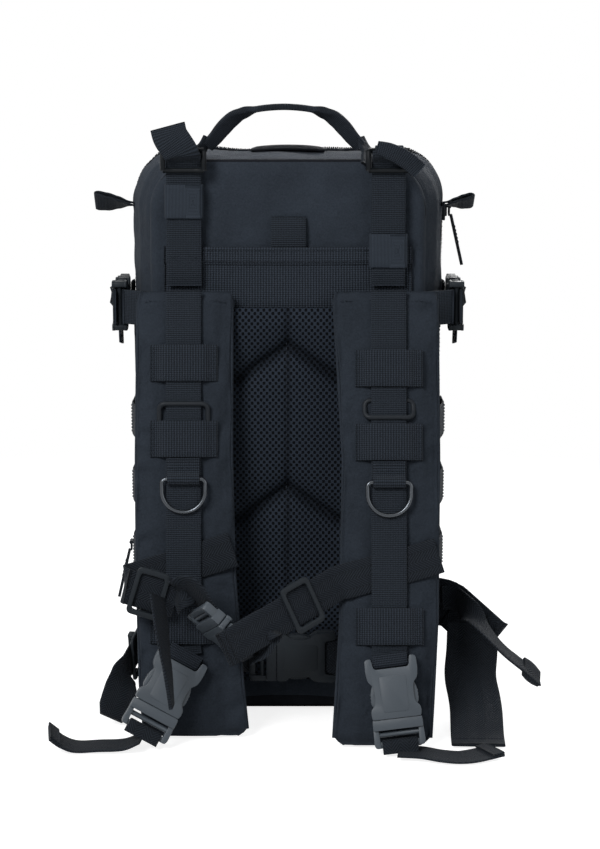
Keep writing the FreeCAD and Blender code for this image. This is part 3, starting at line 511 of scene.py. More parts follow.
def rounded(points, radius, steps=5):
    path = [Vector(points[0])]
    for before, corner, after in zip(points, points[1:], points[2:]):
        before, corner, after = Vector(before), Vector(corner), Vector(after)
        a, b = before - corner, after - corner
        reach = min(radius, a.length * 0.45, b.length * 0.45)
        start, end = corner + a.normalized() * reach, corner + b.normalized() * reach
        for i in range(steps + 1):
            t = i / steps
            path.append(start * (1 - t) ** 2 + corner * (2 * t * (1 - t)) + end * t ** 2)
    path.append(Vector(points[-1]))
    return path


# Sets a piece down with its Z along the webbing and its Y outward.
def facing(origin, along, outward):
    z = Vector(along).normalized()
    y = Vector(outward)
    y = (y - z * y.dot(z)).normalized()
    x = y.cross(z)
    matrix = Matrix((x, y, z)).transposed().to_4x4()
    matrix.translation = Vector(origin)
    return matrix


# Soft folds: noise whose crests are rounded and whose valleys are tight.
def wrinkle(p, size, seed=0.0):
    value = noise.noise(Vector((p.x / size + seed, p.y / size, p.z / size)))
    return value


def creases(p, size, seed=0.0):
    value = noise.noise(Vector((p.x / size + seed, p.y / size - seed, p.z / size)))
    return 1.0 - min(1.0, abs(value) * 3.2)


# Body: gusset, front section and base
body = {"sections": ((-75, 93, 406, 34, 0), (-66, 99.5, 409.5, 36, 0), (-47, 109, 412.6, 38, 0),
        (-13, 115.4, 414.6, 38, 0),
                     (25, 115.6, 413.6, 38, 0), (42, 114.4, 411.6, 38, 0), (55, 111, 407.5, 38, 1.5),
                     (68, 104.5, 401.5, 36, 4), (75, 98, 395, 34, 7)),
        "lowerRadius": 20, "around": 420, "depthStep": 3.0, "puff": 1.5}


def sectionAt(y):
    rows = body["sections"]
    for low, high in zip(rows, rows[1:]):
        if y <= high[0]:
            share = max(0.0, (y - low[0]) / (high[0] - low[0]))
            return [a + (b - a) * share for a, b in zip(low, high)]
    return list(rows[-1])


# Evenly spaced (x, z) points and outward directions round a rounded rectangle, from the middle of its base.
def outline(half, top, radius, bottom, lowerRadius, count):
    runs = [("line", (0, bottom), (half - lowerRadius, bottom)),
            ("arc", (half - lowerRadius, bottom + lowerRadius), lowerRadius, -90),
            ("line", (half, bottom + lowerRadius), (half, top - radius)), ("arc",
                    (half - radius, top - radius), radius, 0),
            ("line", (half - radius, top), (-half + radius, top)), ("arc", (-half + radius, top - radius),
                    radius, 90),
            ("line", (-half, top - radius), (-half, bottom + lowerRadius)),
            ("arc", (-half + lowerRadius, bottom + lowerRadius), lowerRadius, 180),
            ("line", (-half + lowerRadius, bottom), (0, bottom))]
    lengths = []
    for run in runs:
        if run[0] == "line":
            lengths.append(math.dist(run[1], run[2]))
        else:
            lengths.append(run[2] * math.pi / 2)
    total, result = sum(lengths), []
    for i in range(count):
        target, k = total * i / count, 0
        while target > lengths[k]:
            target -= lengths[k]
            k += 1
        run, share = runs[k], target / lengths[k] if lengths[k] else 0
        if run[0] == "line":
            (x0, z0), (x1, z1) = run[1], run[2]
            d = Vector((z1 - z0, -(x1 - x0))).normalized()
            result.append((x0 + (x1 - x0) * share, z0 + (z1 - z0) * share, d.x, d.y))
        else:
            (cx, cz), r, begin = run[1], run[2], run[3]
            angle = math.radians(begin + 90 * share)
            result.append((cx + math.cos(angle) * r, cz + math.sin(angle) * r, math.cos(angle),
                    math.sin(angle)))
    return result


def bodyRing(y, grow=0.0, count=None, seamDip=True):
    half, top, radius, bottom, *_ = sectionAt(y)[1:]
    ring = []
    for x, z, nx, nz in outline(half + grow, top + grow, radius + grow, bottom - min(grow, 0),
            body["lowerRadius"] + grow,
                                count or body["around"]):
        p = Vector((x, y, z))
        n = Vector((nx, 0, nz))
        side = 1.0 - max(0.0, -nz)
        fold = wrinkle(p, 46, 3.1) * 2.0 + wrinkle(p, 17, 8.4) * 0.8 + creases(p, 30, 1.7) * -0.7
        rise = bowAt(x, y) if z < 60 else 0.0
        amount = fold * 0.9 * side
        if abs(nz) > 0.9 and nz > 0:
            amount -= 2.2 * math.exp(-((x - 30) / 34) ** 2) + 1.6 * math.exp(-((x + 40) / 28) ** 2)
        if nz < -0.5:
            amount = 0.0
        p = p + n * (amount if seamDip else 0.0)
        fade = max(0.0, 1.0 - z / 60.0)
        p.z = max(0.0, p.z) + rise * fade
        ring.append(p)
    return ring


# How far the lower edge of the back panel is drawn up off the floor between the straps.
def bowAt(x, y):
    depth = max(0.0, min(1.0, 1.0 - (y - pack["backY"]) / 42.0))
    return 9.0 * depth * depth * max(0.0, 1.0 - (x / 88.0) ** 2) ** 1.2


# A tube of fabric between two depths, with its lining, open along its edges.
def bodyWall(y0, y1, inside, zRange=None, seams=()):
    shape = Shape()
    count = max(2, round((y1 - y0) / body["depthStep"]))
    rows = []
    ys = [y0 + (y1 - y0) * i / count for i in range(count + 1)]
    for y in ys:
        dip = sum(0.9 * math.exp(-((y - s) / 2.2) ** 2) for s in seams)
        rows.append([p for p in bodyRing(y, -0.3 - dip)])
    for y in reversed(ys):
        rows.append([p for p in bodyRing(y, -inside)])
    if zRange:
        keep = [j for j, p in enumerate(rows[0]) if zRange[0] <= p.z <= zRange[1]]
        split = next((i for i in range(len(keep) - 1) if keep[i + 1] - keep[i] > 1), None)
        if split is not None:
            keep = keep[split + 1:] + keep[:split + 1]
        rows = [[row[j] for j in keep] for row in rows]
        shape.grid([list(r) for r in zip(*rows)], None, closedAcross=True, slotOf=lambda i, j: 0
                   if j <= count else 1)
        n = len(rows)
        shape.cap(range(n), True)
        shape.cap(range((len(keep) - 1) * n, len(keep) * n), False)
    else:
        shape.grid([list(r) for r in zip(*rows)], None, closedAcross=True, closedAlong=True,
                   slotOf=lambda i, j: 0 if j <= count else 1)
    return shape


gusset = bodyWall(-66.0, 24.6, 2.2, seams=(-64.5, 16))


# How far the plain back panel stands out from its plane.
def panelHeight(x, z):
    p = Vector((x, 0, z))
    edge = min(1.0, (92 - abs(x)) / 14.0, (406 - z) / 14.0)
    soft = wrinkle(p, 70, 5.2) * 1.5 + wrinkle(p, 30, 2.2) * 0.6
    drape = 0.0
    if z > 350:
        drape = 1.1 * math.sin((x + 0.18 * (z - 350)) / 13.0) * math.exp(-((x - 2) / 55) ** 2) * min(1.0,
                (z - 350) / 20.0)
        drape *= 0.5 + 0.5 * noise.noise(Vector((x / 25, 0, z / 40)))
    return max(-0.6, (soft + drape - 0.7)) * max(0.0, edge) * 0.5


# The flat back, from the rounded outline inwards, with its lining behind.
def backPanel():
    shape = Shape()
    half, top, radius = sectionAt(-66.0)[1:4]
    ring = outline(half - 0.3, top - 0.3, radius, 0.0, 19.7, 300)
    shares = [1.0, 0.997, 0.99, 0.98, 0.965, 0.945, 0.92, 0.9, 0.87, 0.83, 0.78, 0.7, 0.62, 0.54, 0.46, 0.38,
              0.3, 0.22, 0.14, 0.06]
    centre = (0.0, 210.0)
    for y0, slot, flip in ((pack["backY"], 0, False), (pack["backY"] + 2.2, 1, True)):
        rows = []
        for share in shares:
            row = []
            for x, z, *_ in ring:
                px, pz = centre[0] + (x - centre[0]) * share, centre[1] + (z - centre[1]) * share
                out = panelHeight(px, pz) if slot == 0 else 0.0
                rise = bowAt(px, pack["backY"]) * max(0.0, 1 - pz / 60)
                turned = max(0.0, 1 - (1 - share) / 0.055)
                deep = 9.0 * (1 - math.sqrt(1 - turned * turned))
                row.append(Vector((px, y0 - out + deep, pz + rise)))
            rows.append(row)
        if flip:
            rows.reverse()
        start = shape.grid(rows, None, closedAcross=True, slot=slot)
        n = len(ring)
        inner = start if flip else start + (len(shares) - 1) * n
        shape.cap(range(inner, inner + n), flip, slot)
    return shape


shell = Shape()
shell.placed(Matrix.Identity(4), gusset)
shell.placed(Matrix.Identity(4), backPanel())
shell.build("rear body", [fabric, darkFabric], "pack", "shell_fabric", ["rear_shell"])
print("rear body made")


# The outer face of the front section between two heights, with its lining.
def frontPanel(z0, z1):
    shape = Shape()
    half, top, radius, bottom = sectionAt(74.7)[1:5]
    columns = 64
    rows, back = [], []
    steps = max(2, round((z1 - z0) / 4.0))
    for i in range(steps + 1):
        z = z0 + (z1 - z0) * i / steps
        w = halfAt(half, top, radius, bottom, 13.0, z)
        row, behind = [], []
        for k in range(columns + 1):
            x = -w + 2 * w * k / columns
            p = Vector((x, 0, z))
            edge = min(1.0, (w - abs(x)) / 12.0, (top - z) / 12.0)
            out = (1.0 + wrinkle(p, 50, 9.0) * 1.2) * max(0.0, edge)
            row.append(Vector((x, 74.4 + min(1.4, out), z)))
            behind.append(Vector((x, 72.6, z)))
        rows.append(row)
        back.append(behind)
    shape.grid([list(reversed(r)) for r in rows], None, slot=0)
    shape.grid(back, None, slot=1)
    return shape


# Half width of a rounded rectangle at a height.
def halfAt(half, top, radius, bottom, lowerRadius, z):
    if z > top - radius:
        d = min(radius, z - (top - radius))
        return half - radius + math.sqrt(max(0.0, radius * radius - d * d))
    if z < bottom + lowerRadius:
        d = min(lowerRadius, bottom + lowerRadius - z)
        return half - lowerRadius + math.sqrt(max(0.0, lowerRadius * lowerRadius - d * d))
    return half


split = 72.2
frontUpper = bodyWall(25.6, 74.6, 2.2, (split, 500), seams=(34,))
frontUpper.placed(Matrix.Identity(4), frontPanel(split, 394.8))
frontUpper.build("front section", [fabric, darkFabric], "front_section", "shell_fabric", ["front_shell"])
frontLower = bodyWall(25.2, 74.6, 2.2, (-5, split - 0.2))
frontLower.placed(Matrix.Identity(4), frontPanel(7.2, split - 0.2))
frontLower.build("front foot", [fabric, darkFabric], "pack", "shell_fabric", ["lower_front_shell"])
print("front section made")


def pipingPath(y, inset):
    half, top, radius, bottom = sectionAt(y)[1:5]
    path = []
    for x, z, nx, nz in outline(half - inset, top - inset, radius - inset, bottom + inset + 0.5,
            body["lowerRadius"] - inset, 260):
        rise = bowAt(x, y) * max(0.0, 1 - z / 60)
        path.append(Vector((x, y, z + rise)))
    return path


piping = Shape()
rearPath = []
for p in pipingPath(-69.3, 0.9):
    sway = min(0.0, wrinkle(p, 24, 3.0) * 2.0) if p.z > 60 and abs(p.x) > 70 else 0.0
    rearPath.append(p + Vector((math.copysign(sway, p.x), 0, 0)))
piping.tube(rearPath, 1.8, 12, closed=True)
piping.build("back piping", darkFabric, "pack", "piping", ["edge_piping"])
frontPiping = Shape()
frontPath = [p + Vector((0, 1.0, 0)) for p in pipingPath(75, 1.6) if p.z > split]
split0 = max(range(len(frontPath)), key=lambda i: (frontPath[i] - frontPath[i - 1]).length)
frontPath = frontPath[split0:] + frontPath[:split0]
frontPiping.tube(frontPath, 2.2, 10)
frontPiping.build("front piping", binding, "front_section", "piping")
footPiping = Shape()
footPath = [p + Vector((0, 1.0, 0)) for p in pipingPath(75, 1.6) if p.z <= split]
split0 = max(range(len(footPath)), key=lambda i: (footPath[i] - footPath[i - 1]).length)
footPiping.tube(footPath[split0:] + footPath[:split0], 2.2, 10)
footPiping.build("foot piping", binding, "pack", "piping")


# Zipper: two tapes and a coil of teeth over the top and down both sides
zipper = {"end": 72.0, "tape": 8.0, "tooth": 1.7, "pitch": 1.6}


def zipRing(y, grow):
    ring = [p for p in bodyRing(y, grow, 600) if p.z >= zipper["end"]]
    cut = max(range(len(ring)), key=lambda i: (ring[i] - ring[i - 1]).length)
    return ring[cut:] + ring[:cut]


def zipTape(y0, y1, name, bodyName, replaced):
    shape = Shape()
    rows = []
    steps = 5
    for i in range(steps + 1):
        y = y0 + (y1 - y0) * i / steps
        rows.append(zipRing(y, 1.05))
    for i in range(steps + 1):
        y = y1 + (y0 - y1) * i / steps
        rows.append(zipRing(y, 0.1))
    lengths = [0.0]
    for a, b in zip(rows[0], rows[0][1:]):
        lengths.append(lengths[-1] + (b - a).length)
    n = min(len(r) for r in rows)
    grid = [[row[j] for row in rows] for j in range(n)]
    uv = [[(lengths[j] * 0.001, k * 0.0016) for k in range(len(rows))] for j in range(n)]
    shape.grid(grid, uv, closedAcross=True)
    w = len(rows)
    shape.cap(range(w), True)
    shape.cap(range((n - 1) * w, n * w), False)
    stitchY = y0 + 1.3 if y0 < 20 else y1 - 1.3
    path = [p for p in zipRing(stitchY, 1.3)]
    shape.stitches(path, lambda p: Vector((p.x / 3.0, 0, max(0.0, p.z - 300))).normalized(), 3.0, 2.1, 0.32)
    shape.build(name, binding, bodyName, "zipper_tape", replaced)


zipTape(16.6, 24.4, "rear zipper tape", "pack", ["zipper_tape_rear"])
zipTape(25.8, 33.6, "front zipper tape", "front_section", ["zipper_tape_front"])


def zipTeeth(side, bodyName):
    shape = Shape()
    ring = zipRing(25.0, 1.35)
    spots = resample(ring, zipper["pitch"], False)
    for i, (a, b) in enumerate(zip(spots, spots[1:])):
        if i % 2 != (side > 0):
            continue
        along = (b - a).normalized()
        normal = along.cross(yAxis).normalized()
        if normal.dot(Vector((a.x, 0, a.z - 200))) < 0:
            normal.negate()
        start = len(shape.verts)
        for sy in (0.15 - 0.5 * side * -1, 2.3 * side):
            width = 0.42 if sy == 2.3 * side else 0.62
            for dn, da in ((-0.4, -1), (-0.4, 1), (0.75, 1), (0.75, -1)):
                shape.verts.append(a + yAxis * sy + normal * dn + along * (da * width))
        order = ((0, 1, 2, 3), (4, 7, 6, 5), (0, 4, 5, 1), (1, 5, 6, 2), (2, 6, 7, 3), (3, 7, 4, 0))
        for quad in order:
            quad = quad if side < 0 else tuple(reversed(quad))
            shape.cap([start + k for k in quad])
    return shape.build("zipper teeth " + bodyName, coil, bodyName, "zipper_tape", smoothAngle=30)


zipTeeth(-1, "pack")
zipTeeth(1, "front_section")
print("zipper made")


# Back panel: spacer mesh over foam with roof-shaped grooves, and the wide band above


# Distance to the nearest groove or edge of the foam.
def grooveDistance(x, z):
    near = min(foam["half"] - 18 - abs(x), z - 56.0, foam["top"] + 7 - z)
    for apex in foam["apexes"]:
        slope = foam["drop"] / foam["knee"]
        line = apex - min(abs(x), foam["knee"]) * slope
        near = min(near, abs(z - line) / math.hypot(1, slope if abs(x) < foam["knee"] else 0))
    return near


def meshHeight(x, z):
    d = grooveDistance(x, z)
    puff = foam["rise"] * (1.0 - math.exp(-max(0.0, d) / 7.5))
    puff -= 1.7 * math.exp(-(x / 2.6) ** 2)
    puff += wrinkle(Vector((x, 0, z)), 40, 4.0) * 0.5 * min(1.0, max(0.0, d) / 10)
    if d < 3.0 and z < 300:
        puff -= 0.5 * (3.0 - max(0.0, d)) / 3.0
    return 1.6 + max(-0.4, puff)


def meshCover():
    shape = Shape()
    columns, rows = round(2 * foam["half"] / foam["step"]), round((foam["top"] - foam["bottom"]) / foam["step"])
    grid, behind = [], []
    for i in range(rows + 1):
        z = foam["bottom"] + (foam["top"] - foam["bottom"]) * i / rows
        row = []
        for k in range(columns + 1):
            x = -foam["half"] + 2 * foam["half"] * k / columns
            rise = bowAt(x, pack["backY"]) * max(0.0, 1 - z / 60)
            row.append(point(x, meshHeight(x, z), z + rise))
        grid.append(row)
        behind.append([p + Vector((0, p.y * -1 + pack["backY"] - 0.1, 0)) for p in reversed(row)])
    shape.grid(grid, None)
    shape.grid(behind, None)
    return shape


meshCover().build("air mesh panel", mesh, "pack", "mesh", ["air_mesh_cover", "back_foam_pads"])
band = {"bottom": 302.0, "hem": 336.0, "top": 347.0, "half": 89.0}


# Wide webbing across the panel: the body of the band, the stitched hem over it, and the hanging tab.
def wideBand():
    shape = Shape()
    def span(z, out, half, sag=0.0):
        return [point(x, out + 0.6 * math.cos(x / 30.0) * 0.4 + wrinkle(Vector((x, 0, z)), 35, 6.6) * 0.5,
                      z - sag * (1 - (x / half) ** 2))
                for x in [-half + 2 * half * i / 36 for i in range(37)]]
    shape.ribbon(span(320.5, 2.4, band["half"], 0.8), zAxis, 36.0, 1.5, step=2.5, sharp=True)
    shape.ribbon(span(341.5, 3.6, band["half"], 0.8), zAxis, 12.4, 1.5, step=2.5, sharp=True)
    return shape


wideBand().build("upper band", bandWebbing, "pack", "shell_fabric", ["upper_band"])
bandTrim = Shape()
for z, out in ((345.6, 4.5), (337.0, 4.5)):
    zigzag = [point(-87 + 2.0 * i, out,
            z - 0.8 * (1 - ((-87 + 2 * i) / 89) ** 2) + (0.7 if z < 340 and i % 2
            else 0.0)) for i in range(88)]
    bandTrim.stitches(zigzag, -yAxis, 2.6, 2.0, 0.36)
bandTrim.stitches([point(-86 + i * 4, 3.5, 304.8 - 0.8 * (1 - ((-86 + i * 4) / 89) ** 2)) for i in range(44)],
        -yAxis, 3.2, 2.2, 0.36)
tab = Shape()
tab.ribbon([point(0.5, 1.6, 345), point(0.5, 3.4, 352), point(0.5, 3.2, 362), point(0.5, 1.3, 368.5)], xAxis,
           25.0, 1.6, step=2.0)
tab.build("hanging tab", strap, "pack", "webbing")
bandTrim.stitches([point(-10 + 2.2 * i, 2.4, 366.6) for i in range(11)], -yAxis, 2.4, 1.8, 0.34)
for side in (-1, 1):
    for z in (332.5, 346.0):
        bandTrim.ribbon([point(side * 68, 1.4, z), point(side * 78, 1.3, z), point(side * 87, 0.9, z)], zAxis,
                1.6, 1.2, step=2.5)
bandTrim.build("band trim", binding, "pack", "shell_fabric")
panelSeams = Shape()
panelSeams.stitches([point(-1.2, meshHeight(0, z) + 0.1, z) for z in range(62, 300, 3)], -yAxis, 4.2, 2.5,
        0.5)
panelSeams.build("panel stitching", strap, "pack", "mesh")
print("back panel made")


# Shoulder straps
pad = {"thick": 11.0, "lift": 2.2, "top": 316.0, "hingeOut": 5.7, "binding": 1.6}


def offsetLine(line, distance):
    moved = []
    for i, (out, z) in enumerate(line):
        a, b = line[max(i - 1, 0)], line[min(i + 1, len(line) - 1)]
        run = (b[0] - a[0], b[1] - a[1])
        length = math.hypot(*run)
        moved.append((out - run[1] / length * distance, z + run[0] / length * distance))
    return moved


def outAt(line, z):
    for (o0, z0), (o1, z1) in zip(line, line[1:]):
        if z1 <= z <= z0:
            return o0 + (o1 - o0) * (z0 - z) / (z0 - z1)
    return line[-1][0]


def slopeAt(line, z):
    for (o0, z0), (o1, z1) in zip(line, line[1:]):
        if z1 <= z <= z0:
            return Vector((0, -(o1 - o0), z1 - z0)).normalized()
    return -zAxis


class Harness:
    def __init__(self, name, centre, lean, loops, direction, edges):
        self.name, self.centre, self.loops, self.edges = name, centre, loops, edges
        first = (pad["hingeOut"] + pad["thick"] / 2 + 7.5, pad["top"] - 30.0)
        self.line = [(pad["hingeOut"] + pad["thick"] / 2, pad["top"]), first] + lean
        self.webLine = offsetLine(self.line, pad["thick"] / 2 + pad["lift"] + webbing["thick"] / 2)
        self.direction = Vector(direction).normalized()
        self.endHeight = loops[2] - 20.0
        self.receiverAt = point(centre, outAt(self.webLine, self.endHeight) + 3.6, self.endHeight)
        self.bodyName = name + "_strap"
        self.ringHeight = loops[1] - 28.0

    def on(self, line, z, x=0.0):
        return point(self.centre + x, outAt(line, z), z)

    # Left and right edges of the pad at a height.
    def reach(self, z):
        rows = self.edges
        for (z0, a0, b0), (z1, a1, b1) in zip(rows, rows[1:]):
            if z1 <= z <= z0:
                share = (z0 - z) / (z0 - z1)
                return a0 + (a1 - a0) * share, b0 + (b1 - b0) * share
        return rows[-1][1:]

    def ringAxis(self):
        z = self.ringHeight
        return self.on(self.line, z) + slopeAt(self.line,
                z).cross(xAxis) * (pad["thick"] / 2 + pad["lift"] + 1.6 + 0.3 + 1.9)


harnesses = (
    Harness("left", -74.0, [(34.0, 200.0), (48.0, 110.0), (58.0, 40.0), (60.0, 1.9)], (266.0, 213.0, 82.0),
            (-0.47, -0.30, -0.83), ((330, -107, -39.5), (200, -108.5, -40), (120, -108, -38), (40, -106, -32),
                    (0, -103, -28))),
    Harness("right", 71.5, [(38.0, 200.0), (58.0, 110.0), (75.0, 40.0), (81.0, 1.9)], (262.0, 211.0, 84.0),
            (0.12, -0.26, -0.95), ((330, 31, 106), (285, 34, 107), (200, 39, 107.5), (90, 37, 106),
                    (0, 31.5, 101))))


# A padded strap: plump in the middle, thin and seamed at its edges, mesh on the inner face.
def padShape(h):
    shape = Shape()
    path = resample([point(0, out, z) for out, z in h.line], 2.6)
    profile = 44
    rows, uvRows = [], []
    total = sum((b - a).length for a, b in zip(path, path[1:]))
    gone = 0.0
    count = len(path)
    for i, p in enumerate(path):
        if i:
            gone += (p - path[i - 1]).length
        before, after = path[max(0, i - 1)], path[min(count - 1, i + 1)]
        tangent = (after - before).normalized()
        normal = tangent.cross(xAxis).normalized()
        a, b = h.reach(p.z)
        middle, half = (a + b) / 2, (b - a) / 2
        corner = min(gone, total - gone)
        half -= 7.0 * max(0.0, 1 - corner / 8.0) ** 2 * (1.0 if gone > total / 2 else 0.25)
        half += 0.9 * math.sin(p.z / 17.0 + h.centre) * math.sin(p.z / 41.0 + 1.0) - 0.5
        row, uvRow = [], []
        for k in range(profile):
            angle = turn * k / profile
            c, s = math.cos(angle), math.sin(angle)
            across = math.copysign(abs(c) ** 0.62, c)
            rise = math.copysign(abs(s) ** 0.72, s)
            spot = Vector((middle + across * half, p.y, p.z))
            squeeze = 1.0 - 0.26 * math.exp(-((p.z - 127 - 0.28 * (spot.x - h.centre)) / 20.0) ** 2)
            end = min(1.0, 0.35 + corner / 12.0)
            front = 6.3 if s > 0 else 5.4
            fold = wrinkle(spot, 34, 2.0 + h.centre) * 2.3 + wrinkle(spot, 13, h.centre) * 0.9 - creases(spot,
                    27, h.centre) * 1.9 - 0.7
            quiet = 0.25 if abs(spot.x - h.centre) < 25 and s > 0 else 1.0
            d = rise * front * squeeze * end + (fold * quiet if abs(s) > 0.3 else 0.0)
            if s > 0:
                near = abs(spot.x - h.centre)
                d = min(d, 5.75 if near < 26 and 98 < p.z < 152 else 6.4 if near < 25 else 7.4)
            row.append(Vector((spot.x, p.y, p.z)) + normal * d)
            uvRow.append((gone * 0.001, across * half * 0.001))
        rows.append(row)
        uvRows.append(uvRow)
    start = shape.grid(rows, uvRows, closedAcross=True, slotOf=lambda i, j: 0 if j < profile / 2 else 1)
    for index in (0, count - 1):
        ring = [start + index * profile + k for k in range(profile)]
        shape.cap(ring, index == 0)
    for v in range(len(shape.verts)):
        shape.verts[v].z = max(0.5, shape.verts[v].z)
    return shape, path


# The rolled seam down both edges of a pad.
def padEdges(h, path):
    shape = Shape()
    for side in (0, 1):
        line = []
        for p in path[2:-2]:
            x = h.reach(p.z)[side]
            line.append(Vector((x + (0.4 if side == 0 else -0.4), p.y, max(1.4, p.z))))
        shape.tube(line, 1.25, 8)
    return shape


def buildPads():
    for h in harnesses:
        shape, path = padShape(h)
        obj = shape.build("shoulder pad " + h.name, [padFabric, mesh], h.bodyName, "pad_fabric",
                ["shoulder_pad_" + h.name])
        padEdges(h, path).build("pad seam " + h.name, padFabric, h.bodyName, "pad_fabric")
        trim = Shape()
        z = pad["top"] - 6.0
        a, b = h.reach(z)
        y = h.on(h.line, z).y - 5.6
        trim.stitches([Vector((a + 4 + (b - a - 8) * i / 24, y - 0.2, z + 0.5 * math.sin(i)))
                for i in range(25)], -yAxis, 3.3, 2.3, 0.4)
        trim.build("pad hem " + h.name, padFabric, h.bodyName, "pad_fabric")


# A rectangle of stitches with a cross in it, on a flat piece of webbing.
def boxStitch(shape, centre, along, across, length, width, up, cross=True):
    a, s = along.normalized(), across.normalized()
    corners = [centre + a * (length / 2 * i) + s * (width / 2 * j) for i,
               j in ((-1, -1), (-1, 1), (1, 1), (1, -1))]
    for i in range(4):
        shape.stitches([corners[i], corners[(i + 1) % 4]], up, 2.6, 1.9, 0.3)
    if cross:
        shape.stitches([corners[0], corners[2]], up, 2.6, 1.9, 0.3)
        shape.stitches([corners[1], corners[3]], up, 2.6, 1.9, 0.3)


def barWrap(length, radius=2.95):
    path = [Vector((0, radius, 1.8 - length))]
    for i in range(13):
        a = math.pi / 2 - math.pi * i / 12
        path.append(Vector((0, radius * math.sin(a), 1.8 + radius * math.cos(a))))
    path.append(Vector((0, -radius, 1.8 - length)))
    return path


def wrapOn(shape, matrix, length, width=25.0):
    shape.ribbon([matrix @ p for p in barWrap(length)], matrix.to_3x3() @ xAxis, width, 1.6, step=1.0)


def buildStrapWebbing():
    for h in harnesses:
        shape = Shape()
        line = [p for p in h.webLine if p[1] > h.endHeight + 12]
        path = [point(h.centre, out, z) for out, z in line]
        path.append(h.on(h.webLine, h.endHeight + 5.5))
        path.append(h.receiverAt + yAxis * 2.95 - h.direction)
        shape.ribbon(rounded(path, 14.0), xAxis, step=2.5, sharp=True)
        wrapOn(shape, facing(h.receiverAt, h.direction, -yAxis), 7.5)
        shape.build("strap webbing " + h.name, strap, h.bodyName, "webbing", ["strap_webbing_" + h.name])
        loops, trim = Shape(), Shape()
        for z in h.loops:
            base = h.on(h.line, z)
            down = slopeAt(h.line, z)
            outward = down.cross(xAxis)
            spots = ((-24, 6.7), (-21.5, 6.8), (-18.5, 7.4), (-15.6, 9.4), (-12.5, 10.6), (-6, 10.9),
                     (0, 11.0), (6, 10.9),
                     (12.5, 10.6), (15.6, 9.4), (18.5, 7.4), (21.5, 6.8), (24, 6.7))
            loops.ribbon([base + xAxis * x + outward * n for x, n in spots], down, 26.0, 1.7, step=1.6,
                         sharp=True)
            for side in (-1, 1):
                for inset in (21.4, 22.8):
                    trim.stitches([base + xAxis * (side * inset) + outward * 7.7 + down * (-11.5 + 23 * i / 6) for i in range(7)],
                                  outward, 2.7, 2.0, 0.34)
        axis = h.ringAxis()
        down = slopeAt(h.line, h.ringHeight)
        outward = down.cross(xAxis)
        spots = ((-15, -1.1), (-9, -1.1), (-5.5, -0.9), (-3.0, 1.2), (-1.5, 2.9), (0.0, 3.05), (1.6, 2.7),
                 (3.0, 1.3), (3.3, -0.4))
        loops.ribbon([axis + down * d + outward * n for d, n in spots], xAxis, 23.0, 1.5, step=0.9)
        loops.build("cross loops " + h.name, loopWebbing, h.bodyName, "webbing", ["cross_loops_" + h.name])
        for d in (-12.5, -8.0):
            trim.stitches([axis + down * d + outward * -0.25 + xAxis * (-10 + 20 * i / 8) for i in range(9)],
                          outward, 2.4, 1.8, 0.32)
        trim.build("strap stitching " + h.name, strap, h.bodyName, "webbing")


buildPads()
buildStrapWebbing()
print("straps made")


# Metal and moulded rings
# The outline of a D: a straight side across and a round side below, in (x, down).
def ringPath(half, reach, steps=22):
    path = []
    r = 3.0
    for i in range(7):
        a = math.pi / 2 * i / 6
        path.append((half - r + r * math.sin(a), -(r * math.cos(a)) + r))
    for i in range(1, steps):
        a = math.pi * i / steps
        path.append((half * math.cos(a), reach + half * math.sin(a)))
    for i in range(7):
        a = math.pi / 2 * (1 - i / 6)
        path.append((-half + r - r * math.sin(a), -(r * math.cos(a)) + r))
    for i in range(1, 10):
        path.append((-half + r + (2 * half - 2 * r) * i / 10, 0.0))
    return path


def buildRings():
    for h in harnesses:
        axis, down = h.ringAxis(), slopeAt(h.line, h.ringHeight)
        ring = Shape()
        ring.tube([axis + xAxis * x + down * d for x, d in ringPath(15.4, 8.0)], 1.45, 14, closed=True)
        ring.build("d ring " + h.name, metal, h.name + "_d_ring", "ring", ["d_ring_" + h.name])
        upward = h.name == "left"
        shown = h.loops[1] + (24.5 if upward else 17.0)
        hidden = shown - 28.0 if upward else shown + 12.0
        ends = []
        for z, n in ((hidden, 5.6), (shown, 9.8)):
            ends.append(h.on(h.line, z) + slopeAt(h.line, z).cross(xAxis) * n)
        sag = slopeAt(h.line, shown).cross(xAxis) * 1.7
        path = []
        half, r = 17.2, 4.0
        length = (ends[1] - ends[0]).length
        for cx, cd, begin in ((half - r, length - r, 0), (-half + r, length - r, 90), (-half + r, r, 180),
                (half - r, r, 270)):
            for i in range(7):
                a = math.radians(begin + 15 * i)
                x, d = cx + r * math.cos(a), cd + r * math.sin(a)
                share = d / length
                path.append(ends[0].lerp(ends[1], share) + xAxis * x - sag * math.sin(math.pi * share))
        web = Shape()
        web.tube(resample(path + [path[0]], 1.6, False)[:-1], 1.75, 12, closed=True)
        web.build("web ring " + h.name, lacquer, h.name + "_web_ring", "ring", ["web_ring_" + h.name])


buildRings()


# Side-release buckles
buckle = {"half": 17.5, "thick": 5.4, "receiver": 40.0, "plug": 19.5, "prong": 27.0, "bevel": 0.7}


# A closed contour through corner points, each given as (x, z) or (x, z, radius).
def curve(points, count=10):
    result = []
    n = len(points)
    for i, spot in enumerate(points):
        p = Vector(spot[:2])
        r = spot[2] if len(spot) > 2 else 0.0
        if not r:
            result.append(tuple(p))
            continue
        a = Vector(points[i - 1][:2]) - p
        b = Vector(points[(i + 1) % n][:2]) - p
        reach = min(r, a.length * 0.48, b.length * 0.48)
        start, end = p + a.normalized() * reach, p + b.normalized() * reach
        for k in range(count + 1):
            t = k / count
            result.append(tuple(start * (1 - t) ** 2 + p * (2 * t * (1 - t)) + end * t ** 2))
    return result


